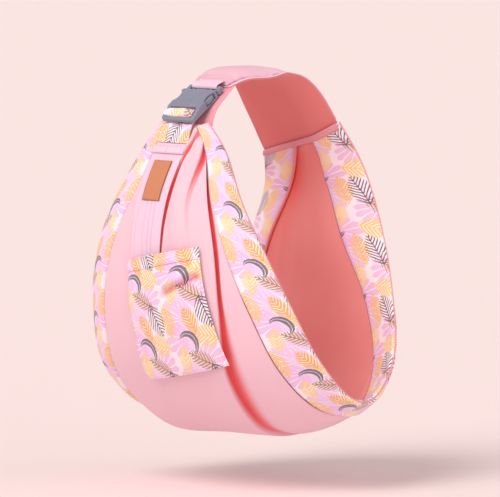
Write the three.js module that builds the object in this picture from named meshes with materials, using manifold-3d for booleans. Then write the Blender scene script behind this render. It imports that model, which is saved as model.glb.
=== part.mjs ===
// A one-shoulder baby sling: a padded shoulder strap, a side-release buckle and a cup-shaped pouch,
// joined into one closed ring. Millimetres, +Z up. The ring lies in the XZ plane: the buckle is at the
// front, towards -X, and the seam between pad and pouch at the back. The near edge is towards -Y. The
// origin is at the middle of the flat patch on the pad's underside, where the sling hangs on the
// wearer's shoulder.
import * as THREE from "three";
import { mergeVertices } from "three/addons/utils/BufferGeometryUtils.js";
import Module from "manifold-3d";

const wasm = await Module();
wasm.setup();

// ---- Driving dimensions ----
const GAP = 0.4; // between pieces that touch
const COVER = 2.2; // thickness of the pouch's outer cover and of its lining
const BAND_WIDTH = 60; // printed edge band, from its seam to the mouth edge
const BAND_HALF_THICKNESS = 5.5;
const BAND_CLOTH = 1.1;
const MARGIN = 0.004; // clearance at the seams of panels and bands, in stations and as a share across

// The pouch runs from station 0, gathered under the buckle, to the last one, at the back seam. Each
// station has the mouth edge's x, half width and z, then the x and z of the pouch's middle line.
const POUCH_STATIONS = [
  [-135, 46, -60, -143, -66],
  [-136, 84, -105, -170, -108],
  [-146, 125, -175, -203, -172],
  [-142, 166, -245, -217, -245],
  [-120, 199, -325, -208, -335],
  [-80, 218, -405, -165, -435],
  [-18, 225, -466, -72, -520],
  [50, 214, -470, 45, -527],
  [110, 195, -415, 112, -462],
  [134, 171, -335, 128, -353],
  [150, 135, -250, 120, -252],
  [143, 102, -170, 126, -170],
  [109, 72, -98, 109, -98],
];
const FRONT_END = 0;
const BASE_START = 5.4;
const BACK_START = 8.2;
const BACK_END = 12;
// The far edge is cut back on the front, because the strap is sewn nearer to it: its reach at each
// station, as a share of the near edge's.
const FAR_REACH = [1, 0.84, 0.77, 0.77, 0.805, 0.86, 0.92, 0.96, 0.99, 1, 1, 1, 1];
const CUP_POWER = 3.2; // how square the cup's section is
const SEAM_SKEW = 18; // the near end of the back seam is higher than its middle by this, the far end lower

// The near edge is carried up and outwards where the pad pulls on it: towards the seam, and more halfway
// down the pad. The lift starts at this place across and grows to the edge.
const NEAR_LIFT = new THREE.Vector3(9.5, 0, 11.5);
const NEAR_BULGE = new THREE.Vector3(5, 0, 6);
const LIFT_START = 0.4;

// The pad's underside from its front end to the back seam: x, half width and z.
const PAD_STATIONS = [
  [-80, 38, -12],
  [-58, 48, -2],
  [-34, 55, 0.6],
  [-10, 59, 1],
  [10, 60, 0.8],
  [31, 63, -11],
  [54, 66, -36],
  [81, 69, -66],
  [104, 71, -96],
];
const PAD_END = PAD_STATIONS.length - 1;
const PAD_SKIN = 1.8;
const PAD_RISE = 9.6; // height of the foam at the pad's middle
const FOAM_EDGE = 0.875; // the foam is cut off here, a place that its covers' facets share
const PAD_RIM = 0.9; // the foam ends at this share of the pad's half width

// The buckle's frame: its upper end in the XZ plane, and how far its length slopes below the horizontal.
const BUCKLE_START = [-92, -11];
const BUCKLE_SLOPE = (36 * Math.PI) / 180;
const BUCKLE_SHIFT = 2; // towards the near side
const BUCKLE_HALF_WIDTH = 33;
const WEBBING_HALF_WIDTH = 25.5;
const RAIL_INNER = 26; // half distance between the side rails of both halves
const MALE_LENGTH = 12.6;
const HOUSING_START = 13;
const HOUSING_END = 56;
const HOUSING_TOP = 8;
const HOUSING_BOTTOM = -5.5;
const CAVITY_TOP = 5.3;
const CAVITY_BOTTOM = -3.3;
const CAVITY_HALF_WIDTH = 28.2;
const CAVITY_END = 47;
const WINDOW_START = 20;
const WINDOW_END = 43;
const INNER_BAR = [62, 67];
const OUTER_BAR = [74, 79];
const ARM_ROOT = [9.3, 17]; // where a release arm bends, along and across the buckle

const STRAP_HALF_WIDTH = 32;
const STRAP_CLOTH = 2.2;

// Pieces sewn in layers on the pouch's front: their stretch in stations, half width, and low and high
// sides.
const PLEATED_STRIP = { from: 0.7, to: 3.6, halfWidth: STRAP_HALF_WIDTH, low: 3.2, high: 6 };
const CROSS_HEM = { from: 0.74, to: 0.98, halfWidth: STRAP_HALF_WIDTH + 1, low: 6.4, high: 8 };
const LABEL = { from: 1.2, to: 2.06, halfWidth: 17.5, low: 6.4, high: 8.2 };

const POCKET_TOP = 3.22;
const POCKET_BOTTOM = 5.08;
const POCKET_FAR = [30, 46]; // from the middle to the pocket's far side, at its mouth and at its foot
const POCKET_NEAR = [97, 122]; // and to its near side
const POCKET_TILT = 0.3; // stations by which its near side is higher
const POCKET_CLOTH = 1.5;
const POCKET_BASE = 8.2; // the pocket's height above the pouch's surface where it is sewn down
const POCKET_OPENING = 10; // how far its mouth stands off, at the middle
const POCKET_HEM = 0.2; // width of the turned hem along its mouth, in stations

// ---- Finishes ----
function cloth(color) {
  return new THREE.MeshStandardMaterial({ color, roughness: 0.9, metalness: 0 });
}
const pinkCotton = cloth(0xf4bfd0);
const salmonCotton = cloth(0xe37173);
const printedCotton = cloth(0xf3dfea);
const webbingPink = cloth(0xf3b4c6);
const foam = cloth(0xf2efe6);
const wadding = cloth(0xf7f5f1);
const tanLeather = new THREE.MeshStandardMaterial({ color: 0xd98655, roughness: 0.6, metalness: 0 });
const slatePlastic = new THREE.MeshStandardMaterial({ color: 0x808a99, roughness: 0.45, metalness: 0 });

// ---- Solids ----
function signedVolume(rings, triangles) {
  const points = rings.flat();
  const cross = new THREE.Vector3();
  const wedge = ([a, b, c]) => cross.crossVectors(points[a], points[b]).dot(points[c]);
  return triangles.reduce((sum, triangle) => sum + wedge(triangle), 0);
}

// A closed solid through rings of equal length. The second half of a ring runs back along the first, so
// each end is closed by a strip between the two halves. The outline, a ring in its own plane, gives the
// facets' diagonals one way, so two layers with the same places have the same facets.
function loft(rings, outline) {
  const count = outline.length;
  const last = (rings.length - 1) * count;
  const triangles = [];
  for (let i = 0; i < rings.length - 1; i++) {
    for (let j = 0; j < count; j++) {
      const next = (j + 1) % count;
      const [a, b] = [i * count + j, i * count + next];
      if (outline[next][0] > outline[j][0]) triangles.push([a, b, a + count], [b, b + count, a + count]);
      else triangles.push([a, b, b + count], [a, b + count, a + count]);
    }
  }
  for (let j = 0; j < count / 2 - 1; j++) {
    const [a, b, c, d] = [j, j + 1, count - 2 - j, count - 1 - j];
    triangles.push([a, c, b], [a, d, c]);
    triangles.push([last + a, last + b, last + c], [last + a, last + c, last + d]);
  }
  const outward = signedVolume(rings, triangles) > 0;
  const geometry = new THREE.BufferGeometry().setFromPoints(rings.flat());
  geometry.setIndex(triangles.flatMap(([a, b, c]) => (outward ? [a, b, c] : [a, c, b])));
  return geometry;
}

function steps(from, to, count) {
  return Array.from({ length: count + 1 }, (_, i) => from + ((to - from) * i) / count);
}

function smooth(x) {
  const k = Math.min(Math.max(x, 0), 1);
  return k * k * (3 - 2 * k);
}

// ---- The pouch's surface ----
function curveThrough(points) {
  return new THREE.CatmullRomCurve3(points, false, "catmullrom", 0.5);
}
const mouthCurve = curveThrough(POUCH_STATIONS.map(([x, half, z]) => new THREE.Vector3(x, half, z)));
const middleCurve = curveThrough(POUCH_STATIONS.map(([, , , x, z]) => new THREE.Vector3(x, 0, z)));

const reachCurve = curveThrough(FAR_REACH.map((reach, station) => new THREE.Vector3(station, reach, 0)));

function mouthAt(station) {
  return mouthCurve.getPoint(station / BACK_END);
}

// How far the cloth reaches to one side, as a share of the mouth's half width.
function reachAt(station, side) {
  return side > 0 ? reachCurve.getPoint(onRoute(station) / BACK_END).y : 1;
}

function onRoute(station) {
  return Math.min(Math.max(station, FRONT_END), BACK_END);
}

// The surface between cover and lining. across runs from -1, the near mouth edge, to 1, the far one.
function pouchSurface(station, across) {
  const mouth = mouthAt(station);
  const middle = middleCurve.getPoint(station / BACK_END);
  const share = across * reachAt(station, across);
  const cup = 1 - Math.abs(share) ** CUP_POWER;
  const skew = -SEAM_SKEW * across * smooth((station - 10) / 2);
  return new THREE.Vector3(
    mouth.x + (middle.x - mouth.x) * cup,
    mouth.y * share,
    mouth.z + (middle.z - mouth.z) * cup + skew,
  );
}

// The lift at a place across, for these shares of the lift and of the bulge.
function nearLift(across, lift, bulge) {
  const grown = Math.max((-across - LIFT_START) / (1 - LIFT_START), 0) ** 1.3;
  return NEAR_LIFT.clone().multiplyScalar(lift * grown).addScaledVector(NEAR_BULGE, bulge * grown);
}

// A point at a height above that surface, outwards from the ring.
function pouchPoint(station, across, height) {
  const step = 0.02;
  const ahead = pouchSurface(onRoute(station + step), across);
  const along = ahead.sub(pouchSurface(onRoute(station - step), across));
  const over = pouchSurface(station, across + step).sub(pouchSurface(station, across - step));
  const normal = over.cross(along).normalize();
  const lift = nearLift(across, smooth((station - 9) / 3), 0);
  return pouchSurface(station, across).addScaledVector(normal, height).add(lift);
}

// A piece that follows the pouch: its section, in across and height, is carried from one station to
// another. A third number in the section moves that point along the pouch.
function onPouch(from, to, count, section) {
  const stations = steps(from, to, count);
  const point = (u) => ([across, height, shift = 0]) => pouchPoint(u + shift, across, height);
  return loft(stations.map((u) => section(u).map(point(u))), section((from + to) / 2));
}

// A flat section: low and high sides between two places across.
function slab(low, high, left, right, count) {
  const places = steps(left, right, count);
  const under = places.map((across) => [across, low]);
  const over = places.map((across) => [across, high]).reverse();
  return [...under, ...over];
}

// Where a band's seam lies across the pouch. The band narrows where the pouch is gathered, and takes a
// smaller share of a cupped stretch, whose section is longer than it is wide. The far one stays clear of
// the strap.
function bandSeam(station, side) {
  const gathered = 0.42 + 0.58 * smooth(station / (side > 0 ? 2 : 4));
  const cupped = 1 + (side > 0 ? 0.17 : 0.45) * smooth((10.5 - station) / 3);
  const halfWidth = mouthAt(station).y * reachAt(station, side);
  const seam = 1 - (BAND_WIDTH * gathered) / (halfWidth * cupped);
  return Math.max(seam, (STRAP_HALF_WIDTH + 2) * smooth(3.5 - station) / halfWidth);
}

function bodyPanel(from, to, count, low, high) {
  return onPouch(from + MARGIN, to - MARGIN, count, (u) => {
    return slab(low, high, MARGIN - bandSeam(u, -1), bandSeam(u, 1) - MARGIN, 10);
  });
}

// The band's cloth turns round the mouth edge: its flat sides end, its inner side ends, and its fold
// reaches these places across.
const FLAT_END = 0.985;
const FILL_END = 0.982;
const FOLD = 1 + MARGIN;

function bandCover(side, from, to, count) {
  const out = BAND_HALF_THICKNESS;
  const inner = out - BAND_CLOTH;
  return onPouch(from + MARGIN, to - MARGIN, count, (u) => {
    const seam = bandSeam(u, side) + MARGIN;
    const middle = (seam + 1) / 2;
    const upper = [[seam, out], [middle, out], [FLAT_END, out], [FOLD, 0]];
    const lower = [[FLAT_END, -out], [middle, -out], [seam, -out]];
    const back = [[seam, -inner], [middle, -inner], [FILL_END, -inner], [FILL_END, 0]];
    const under = [[FILL_END, inner], [middle, inner], [seam, inner]];
    return [...upper, ...lower, ...back, ...under].map(([across, height]) => [side * across, height]);
  });
}

function bandWadding(side, from, to, count) {
  const high = BAND_HALF_THICKNESS - BAND_CLOTH - GAP;
  return onPouch(from + MARGIN, to - MARGIN, count, (u) => {
    const seam = bandSeam(u, side) + 1.5 * MARGIN;
    const middle = (bandSeam(u, side) + FOLD) / 2;
    const end = FILL_END - MARGIN;
    const upper = [[seam, high], [middle, high], [end, high]];
    const lower = [[end, -high], [middle, -high], [seam, -high]];
    return [...upper, ...lower].map(([across, height]) => [side * across, height]);
  });
}

// ---- The shoulder pad ----
const padCurve = curveThrough(PAD_STATIONS.map(([x, half, z]) => new THREE.Vector3(x, half, z)));

// A point of the pad at a height above its underside. The underside is pressed flat where it meets the
// shoulder.
function padPoint(station, across, height) {
  const here = padCurve.getPoint(station / PAD_END);
  const ahead = padCurve.getPoint(Math.min(station + 0.01, PAD_END) / PAD_END);
  const behind = padCurve.getPoint(Math.max(station - 0.01, 0) / PAD_END);
  const flat = here.z > 0 ? 0 : 1;
  const slope = Math.atan2((ahead.z - behind.z) * flat, ahead.x - behind.x);
  const skew = -SEAM_SKEW * across * smooth((station - 4.5) / 3.5);
  const lift = nearLift(across, smooth((station - 2.4) / 3.4), Math.exp(-(((station - 6) / 1.2) ** 2)));
  return new THREE.Vector3(
    here.x - Math.sin(slope) * height,
    here.y * across,
    Math.min(here.z, 0) + Math.cos(slope) * height + skew,
  ).add(lift);
}

// The foam's height falls to nothing at the pad's sides and thins towards its two ends.
function foamHeight(station, across) {
  const ends = 0.35 + 0.65 * smooth(Math.min(station, PAD_END - station) / 1.8);
  return Math.max(PAD_RISE * ends * (1 - (across / PAD_RIM) ** 4), 0);
}

function onPad(from, to, count, section) {
  const stations = steps(from, to, count);
  const rings = stations.map((u) => section(u).map(([across, height]) => padPoint(u, across, height)));
  return loft(rings, section((from + to) / 2));
}

function padLining() {
  return onPad(0, PAD_END - 0.01, 24, () => slab(0, PAD_SKIN, -1, 1, 16));
}

function padFoam() {
  return onPad(0.35, PAD_END - 0.4, 22, (u) => {
    const places = steps(-FOAM_EDGE, FOAM_EDGE, 14);
    const low = PAD_SKIN + GAP;
    const under = places.map((across) => [across, low]);
    const over = places.map((across) => [across, low + 0.5 + foamHeight(u, across)]).reverse();
    return [...under, ...over];
  });
}

function padCover() {
  return onPad(0, PAD_END - 0.01, 24, (u) => {
    const places = steps(-1, 1, 16);
    const low = PAD_SKIN + GAP;
    const lift = (across) => foamHeight(u, across) + (Math.abs(across) < 0.95 ? 0.5 + GAP : 0);
    const under = places.map((across) => [across, low + lift(across)]);
    const over = places.map((across) => [across, low + lift(across) + PAD_SKIN]).reverse();
    return [...under, ...over];
  });
}

// The cloth tape over the pouch's end, outside, where the pad is sewn on.
function backSeamTape() {
  const low = BAND_HALF_THICKNESS + 6 * GAP;
  return onPouch(BACK_END - 0.24, BACK_END - 0.02, 2, () => slab(low, low + 1.6, -0.95, 0.95, 18));
}

// ---- The buckle, in its own frame: x along it, y towards the near side, z outwards ----
function box(x0, x1, y0, y1, z0, z1) {
  const geometry = new THREE.BoxGeometry(x1 - x0, y1 - y0, z1 - z0);
  return geometry.translate((x0 + x1) / 2, (y0 + y1) / 2, (z0 + z1) / 2);
}

function prism(points, z0, z1) {
  const shape = new THREE.Shape(points.map(([x, y]) => new THREE.Vector2(x, y)));
  return new THREE.ExtrudeGeometry(shape, { depth: z1 - z0, bevelEnabled: false }).translate(0, 0, z0);
}

// A plate with rounded corners, as an outline in x and y.
function roundedOutline(x0, x1, halfWidth, radius) {
  const points = [];
  const corners = [[x1, halfWidth, 0], [x0, halfWidth, 1], [x0, -halfWidth, 2], [x1, -halfWidth, 3]];
  for (const [x, y, quarter] of corners) {
    const centreX = x + (x === x1 ? -radius : radius);
    const centreY = y - Math.sign(y) * radius;
    for (const turn of steps(0, 1, 4)) {
      const angle = ((quarter + turn) * Math.PI) / 2;
      points.push([centreX + radius * Math.cos(angle), centreY + radius * Math.sin(angle)]);
    }
  }
  return points;
}

function solidFrom(geometry) {
  const bare = geometry.clone();
  bare.deleteAttribute("normal");
  bare.deleteAttribute("uv");
  const merged = mergeVertices(bare, 1e-4);
  return new wasm.Manifold(
    new wasm.Mesh({
      numProp: 3,
      vertProperties: merged.attributes.position.array,
      triVerts: new Uint32Array(merged.index.array),
    }),
  );
}

function geometryFrom(solid) {
  const mesh = solid.getMesh();
  const geometry = new THREE.BufferGeometry();
  geometry.setAttribute("position", new THREE.BufferAttribute(new Float32Array(mesh.vertProperties), 3));
  geometry.setIndex(new THREE.BufferAttribute(new Uint32Array(mesh.triVerts), 1));
  return geometry;
}

function cut(base, tools) {
  return tools.reduce((left, tool) => left.subtract(solidFrom(tool)), base);
}

// The side profile of the housing and its rails, along the buckle and outwards: a high plate over the
// latch, and a lower ladder end for the strap.
const HOUSING_PROFILE = [
  [HOUSING_START, HOUSING_BOTTOM],
  [OUTER_BAR[1], -3.5],
  [OUTER_BAR[1], 1],
  [OUTER_BAR[0] - 2, 3.2],
  [HOUSING_END + 3, 6],
  [HOUSING_END, HOUSING_TOP],
  [HOUSING_START + 3, HOUSING_TOP],
  [HOUSING_START, HOUSING_TOP - 1.5],
];
const BEYOND = 12; // a cutting block reaches this far past what it cuts

// An arched notch in the housing's top plate over a side window, for the thumb.
function thumbNotch(side) {
  const middle = (WINDOW_START + WINDOW_END) / 2;
  const reach = (WINDOW_END - WINDOW_START) / 2;
  const arch = steps(0, Math.PI, 10).map((angle) => [
    middle + reach * Math.cos(angle),
    side * (BUCKLE_HALF_WIDTH + 1 - 6.5 * Math.sin(angle)),
  ]);
  return prism(side > 0 ? arch : arch.reverse(), CAVITY_TOP - 1, HOUSING_TOP + BEYOND);
}

function femaleHalf() {
  const side = prism(HOUSING_PROFILE, -BUCKLE_HALF_WIDTH, BUCKLE_HALF_WIDTH).rotateX(Math.PI / 2);
  const plan = prism(roundedOutline(HOUSING_START, OUTER_BAR[1], BUCKLE_HALF_WIDTH, 4), -BEYOND, BEYOND);
  const across = BUCKLE_HALF_WIDTH + BEYOND;
  const hollows = [
    box(HOUSING_START - 5, CAVITY_END, -CAVITY_HALF_WIDTH, CAVITY_HALF_WIDTH, CAVITY_BOTTOM, CAVITY_TOP),
    box(WINDOW_START, WINDOW_END, -across, across, CAVITY_BOTTOM, CAVITY_TOP),
  ];
  const slots = [
    box(HOUSING_END, INNER_BAR[0], -RAIL_INNER, RAIL_INNER, -BEYOND, BEYOND),
    box(INNER_BAR[1], OUTER_BAR[0], -RAIL_INNER, RAIL_INNER, -BEYOND, BEYOND),
  ];
  const aroundInnerBar = [
    box(HOUSING_END, INNER_BAR[1] + 1, -RAIL_INNER, RAIL_INNER, 3, BEYOND),
    box(HOUSING_END, INNER_BAR[1] + 1, -RAIL_INNER, RAIL_INNER, -BEYOND, -1.5),
  ];
  const bulk = solidFrom(side).intersect(solidFrom(plan));
  return geometryFrom(cut(bulk, [...hollows, thumbNotch(1), thumbNotch(-1), ...slots, ...aroundInnerBar]));
}

function maleHalf() {
  const plate = solidFrom(prism(roundedOutline(0, MALE_LENGTH, BUCKLE_HALF_WIDTH, 3), -4, 4));
  const guide = solidFrom(box(MALE_LENGTH - 1, 40, -4.5, 4.5, -2, 4));
  const [rootX, rootY] = ARM_ROOT;
  const armPocket = box(rootX - 0.9, MALE_LENGTH + 1, rootY - 4.3, rootY + 7, -3, 5);
  const wide = WEBBING_HALF_WIDTH + 0.6;
  const slot = box(3.2, 7.8, -wide, wide, -BEYOND, BEYOND);
  const aboveBar = box(-1, 4, -wide, wide, 2.8, BEYOND);
  const belowBar = box(-1, 4, -wide, wide, -BEYOND, -2.8);
  const farPocket = armPocket.clone().rotateX(Math.PI).translate(0, 0, 2);
  return geometryFrom(cut(plate.add(guide), [slot, aboveBar, belowBar, armPocket, farPocket]));
}

// The near release arm: a leg from the root, then a broad grip that shows in the housing's window. Its
// step at the window's start is the catch.
const ARM_LEG = [[9, 14], [9, 19.5], [13, 23.5], [17.5, 26], [20.6, 27]];
const ARM_GRIP = [[20.8, 30.2], [24, 31.6], [30, 32.2], [36, 31.6], [41, 29]];
const ARM_INSIDE = [[42, 26.5], [40, 25], [33, 26.5], [26, 25.4], [18, 20]];
const ARM_OUTLINE = [...ARM_LEG, ...ARM_GRIP, ...ARM_INSIDE];

function releaseArm(side) {
  const outline = ARM_OUTLINE.map(([x, y]) => [x, side * y]);
  return prism(side > 0 ? outline : outline.reverse(), -2.4, 4.5);
}

// A band of cloth seen from its side as a line of x and z, with its thickness, carried across the
// buckle's width.
function ribbon(path, thickness, halfWidth) {
  const points = path.map(([x, z]) => new THREE.Vector2(x, z));
  const sides = points.map((point, i) => {
    const ahead = points[Math.min(i + 1, points.length - 1)];
    const behind = points[Math.max(i - 1, 0)];
    const way = ahead.clone().sub(behind).normalize();
    return [point, new THREE.Vector2(-way.y, way.x).multiplyScalar(thickness / 2)];
  });
  const left = sides.map(([point, half]) => point.clone().add(half));
  const right = sides.map(([point, half]) => point.clone().sub(half)).reverse();
  const outline = [...left, ...right];
  const rings = [-halfWidth, halfWidth].map((y) => outline.map((p) => new THREE.Vector3(p.x, y, p.y)));
  return loft(rings, outline.map((p) => [p.x, p.y]));
}

function arc(centreX, centreZ, radiusX, radiusZ, from, to, count) {
  return steps(from, to, count).map((degrees) => {
    const angle = (degrees * Math.PI) / 180;
    return [centreX + radiusX * Math.cos(angle), centreZ + radiusZ * Math.sin(angle)];
  });
}

// The strap's turn round the ladder's inner bar, thick and soft.
function strapRoll() {
  const middle = (INNER_BAR[0] + INNER_BAR[1]) / 2;
  const thickness = 3;
  return ribbon(arc(middle, 0.9, 6.2, 5.2, 250, -70, 14), thickness, WEBBING_HALF_WIDTH);
}

// The webbing sewn on the pad's front end: over the male half's bar and back under it.
function maleWebbing() {
  const thickness = 1.6;
  const overBar = [[-19, 2.4], [-12, 3.6], [-5, 4.8], [0, 5.4]];
  const roundBar = arc(1.6, 0.3, 3.9, 5.2, 75, -80, 6);
  const backUnder = [[-2, -5], [-6, -4.6]];
  return ribbon([...overBar, ...roundBar, ...backUnder], thickness, WEBBING_HALF_WIDTH);
}

// The pad's tongue that lies under the buckle, so that the buckle doesn't press on the wearer.
function buckleUnderlay() {
  const thickness = 2.4;
  const halfWidth = 46;
  const path = [[-7, -9.4], [4, -8.6], [18, -8.6], [32, -9.4], [43, -11.4], [52, -14.5]];
  return ribbon(path, thickness, halfWidth);
}

// The strap between the buckle and the cross hem, as a line in x and z.
const STRAP_PATH = [[-144.5, -59.6], [-150, -63.5], [-155, -70], [-158.5, -78], [-161.5, -85.5]];

// ---- The strap, label and pocket on the pouch's front ----
function strapSide(station, y) {
  return y / (mouthAt(station).y * reachAt(station, y));
}

function strapPiece({ from, to, halfWidth, low, high }, count) {
  return onPouch(from, to, count, (u) => {
    return slab(low, high, strapSide(u, -halfWidth), strapSide(u, halfWidth), 4);
  });
}

// The pocket stands off the pouch towards its mouth, most at the middle.
function pocketHeight(station, share) {
  const open = Math.max((POCKET_BOTTOM - station) / (POCKET_BOTTOM - POCKET_TOP), 0) ** 1.4;
  return POCKET_BASE + POCKET_OPENING * open * Math.sin(Math.PI * share);
}

function pocketPiece(from, to, count, low) {
  return onPouch(from, to, count, (u) => {
    const shares = steps(0, 1, 8);
    const down = (u - POCKET_TOP) / (POCKET_BOTTOM - POCKET_TOP);
    const near = -THREE.MathUtils.lerp(...POCKET_NEAR, down);
    const far = THREE.MathUtils.lerp(...POCKET_FAR, down);
    const place = (share) => strapSide(u, THREE.MathUtils.lerp(near, far, share));
    const layer = (height) => shares.map((share) =>
      [place(share), pocketHeight(u, share) + height, POCKET_TILT * (share - 1)]);
    return [...layer(low), ...layer(low + POCKET_CLOTH).reverse()];
  });
}

// ---- Assembly ----
const carrier = new THREE.Group();

function add(parent, name, geometry, material) {
  const mesh = new THREE.Mesh(geometry, material);
  mesh.name = name;
  parent.add(mesh);
}

const PANELS = [
  ["front", FRONT_END, BASE_START, 12],
  ["base", BASE_START, BACK_START, 8],
  ["back", BACK_START, BACK_END, 9],
];
for (const [name, from, to, count] of PANELS) {
  add(carrier, `outer_${name}_panel`, bodyPanel(from, to, count, GAP / 2, COVER), pinkCotton);
  add(carrier, `lining_${name}_panel`, bodyPanel(from, to, count, -COVER, -GAP / 2), salmonCotton);
}

const BAND_STRETCHES = [
  ["front", FRONT_END, 6.8, 16],
  ["back", 6.8, BACK_END, 13],
];
for (const [edge, side] of [["near", -1], ["far", 1]]) {
  for (const [name, from, to, count] of BAND_STRETCHES) {
    add(carrier, `${edge}_band_${name}`, bandCover(side, from, to, count), printedCotton);
    add(carrier, `${edge}_wadding_${name}`, bandWadding(side, from, to, count), wadding);
  }
}

add(carrier, "pad_cover", padCover(), pinkCotton);
add(carrier, "pad_foam", padFoam(), foam);
add(carrier, "pad_lining", padLining(), salmonCotton);
add(carrier, "back_seam_tape", backSeamTape(), pinkCotton);

add(carrier, "strap_cross_hem", strapPiece(CROSS_HEM, 2), webbingPink);
add(carrier, "pleated_strip", strapPiece(PLEATED_STRIP, 9), pinkCotton);
add(carrier, "leather_label", strapPiece(LABEL, 3), tanLeather);
const overPocket = POCKET_CLOTH + GAP;
add(carrier, "pocket_panel", pocketPiece(POCKET_TOP + 0.02, POCKET_BOTTOM, 8, 0), printedCotton);
add(carrier, "pocket_hem", pocketPiece(POCKET_TOP, POCKET_TOP + POCKET_HEM, 2, overPocket), printedCotton);

const buckle = new THREE.Group();
buckle.position.set(BUCKLE_START[0], -BUCKLE_SHIFT, BUCKLE_START[1]);
buckle.rotation.set(0, -BUCKLE_SLOPE, Math.PI);
carrier.add(buckle);
add(buckle, "male_buckle", maleHalf(), slatePlastic);
add(buckle, "female_buckle", femaleHalf(), slatePlastic);
add(buckle, "near_release_arm", releaseArm(1), slatePlastic);
add(buckle, "far_release_arm", releaseArm(-1), slatePlastic);
add(buckle, "strap_roll", strapRoll(), printedCotton);
add(buckle, "male_webbing", maleWebbing(), webbingPink);
add(buckle, "buckle_underlay", buckleUnderlay(), pinkCotton);
add(carrier, "printed_strap", ribbon(STRAP_PATH, STRAP_CLOTH, STRAP_HALF_WIDTH), printedCotton);

export default carrier;
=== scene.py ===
# %% [markdown]
# # A one-shoulder baby sling
#
# The real thing is mostly cloth: a cup-shaped pouch of pink cotton lined in salmon, padded bands of printed cotton
# along both of its long edges, a foam-filled shoulder pad, and a strap that runs through a side-release buckle.
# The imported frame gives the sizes, the bodies and the buckle. Every soft piece here is a surface worked out from
# the same few stations as the frame, because one shared surface lets folds, seams and layers meet without gaps.

# %% Load the frame
import math

import bmesh
import bpy
import numpy as np
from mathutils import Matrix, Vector


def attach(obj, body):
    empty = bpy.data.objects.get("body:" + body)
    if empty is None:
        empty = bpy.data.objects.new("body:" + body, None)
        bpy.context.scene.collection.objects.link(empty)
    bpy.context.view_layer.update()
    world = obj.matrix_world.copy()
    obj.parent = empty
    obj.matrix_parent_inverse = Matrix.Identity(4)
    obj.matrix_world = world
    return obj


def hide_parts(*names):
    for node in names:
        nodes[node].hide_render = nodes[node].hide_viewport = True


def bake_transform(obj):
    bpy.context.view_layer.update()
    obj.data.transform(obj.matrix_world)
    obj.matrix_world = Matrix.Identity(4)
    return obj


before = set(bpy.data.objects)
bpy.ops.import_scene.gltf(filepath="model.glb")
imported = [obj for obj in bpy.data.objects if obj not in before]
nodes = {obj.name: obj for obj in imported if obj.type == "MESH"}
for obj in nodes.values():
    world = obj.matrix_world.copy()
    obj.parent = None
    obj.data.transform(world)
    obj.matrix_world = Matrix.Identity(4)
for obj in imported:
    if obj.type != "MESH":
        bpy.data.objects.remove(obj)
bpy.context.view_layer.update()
MM = 0.001

# %% [markdown]
# ## Camera, floor and light
#
# A long lens held nearly level, as for a catalogue picture, keeps the ring's far side from shrinking. The camera
# looks at a point below the shoulder pad, where the middle of the whole sling hangs. The light is one broad lamp
# from the upper left, a weaker one from the right and a pale room, because cloth shows its folds in broad,
# low-contrast light, while a small lamp would draw hard shadows.

# %% Camera
AZIMUTH, ELEVATION = math.radians(-46), math.radians(4.7)
SEEN_WIDTH = 750 * MM
LENS, SENSOR = 500, 36
to_camera = Vector((math.sin(AZIMUTH) * math.cos(ELEVATION), -math.cos(AZIMUTH) * math.cos(ELEVATION),
                    math.sin(ELEVATION)))
to_right = Vector((math.cos(AZIMUTH), math.sin(AZIMUTH), 0))
to_top = to_right.cross(-to_camera)
aim = to_right * 1.5 * MM - to_top * 257 * MM
camera = bpy.data.objects.new("camera", bpy.data.cameras.new("camera"))
bpy.context.scene.collection.objects.link(camera)
camera.data.lens, camera.data.sensor_width = LENS, SENSOR
camera.location = aim + to_camera * (SEEN_WIDTH * LENS / SENSOR)
camera.rotation_euler = (-to_camera).to_track_quat("-Z", "Y").to_euler()
camera.data.clip_end = 100
bpy.context.scene.camera = camera
bpy.context.scene.view_settings.view_transform = "Standard"
print("camera at", [round(x, 2) for x in camera.location])


# %% Colours and nodes
def srgb(code):
    """A hex colour, as it looks on a screen, turned to the linear numbers that shaders use."""
    parts = np.array([int(code[i:i + 2], 16) for i in (1, 3, 5)]) / 255
    linear = np.where(parts <= 0.04045, parts / 12.92, ((parts + 0.055) / 1.055) ** 2.4)
    return (*linear, 1.0)


def add(tree, kind, *values, **settings):
    """Adds one node. values go to its inputs in order: a number, a colour, or another node or socket to link.
    A None leaves its input alone. settings are the node's own, or inputs by name where named is given."""
    named = settings.pop("named", {})
    made = tree.nodes.new("ShaderNode" + kind)
    for key, value in settings.items():
        setattr(made, key, value)
    pairs = [*zip(made.inputs, values), *((made.inputs[key], value) for key, value in named.items())]
    for socket, value in pairs:
        if isinstance(value, bpy.types.Node):
            tree.links.new(value.outputs[0], socket)
        elif isinstance(value, bpy.types.NodeSocket):
            tree.links.new(value, socket)
        elif value is not None:
            socket.default_value = value
    return made


def new_material(name):
    """An empty material and its node tree."""
    material = bpy.data.materials.new(name)
    material.use_nodes = True
    material.node_tree.nodes.clear()
    return material, material.node_tree


# %% Floor and light
FLOOR_Z = -612 * MM


def plain_floor():
    """A pale, matt studio floor, wide enough to fill the view."""
    bpy.ops.mesh.primitive_plane_add(size=40, location=(0, 0, FLOOR_Z))
    floor = bpy.context.object
    floor.name = "floor"
    material, tree = new_material("painted_studio_floor")
    speckle = add(tree, "TexNoise", None, None, 3.0)
    tone = add(tree, "MixRGB", speckle, srgb("#F3E2E1"), srgb("#F5E6E5"))
    add(tree, "OutputMaterial", add(tree, "BsdfPrincipled", tone, named={"Roughness": 0.9}))
    floor.data.materials.append(material)


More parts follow.
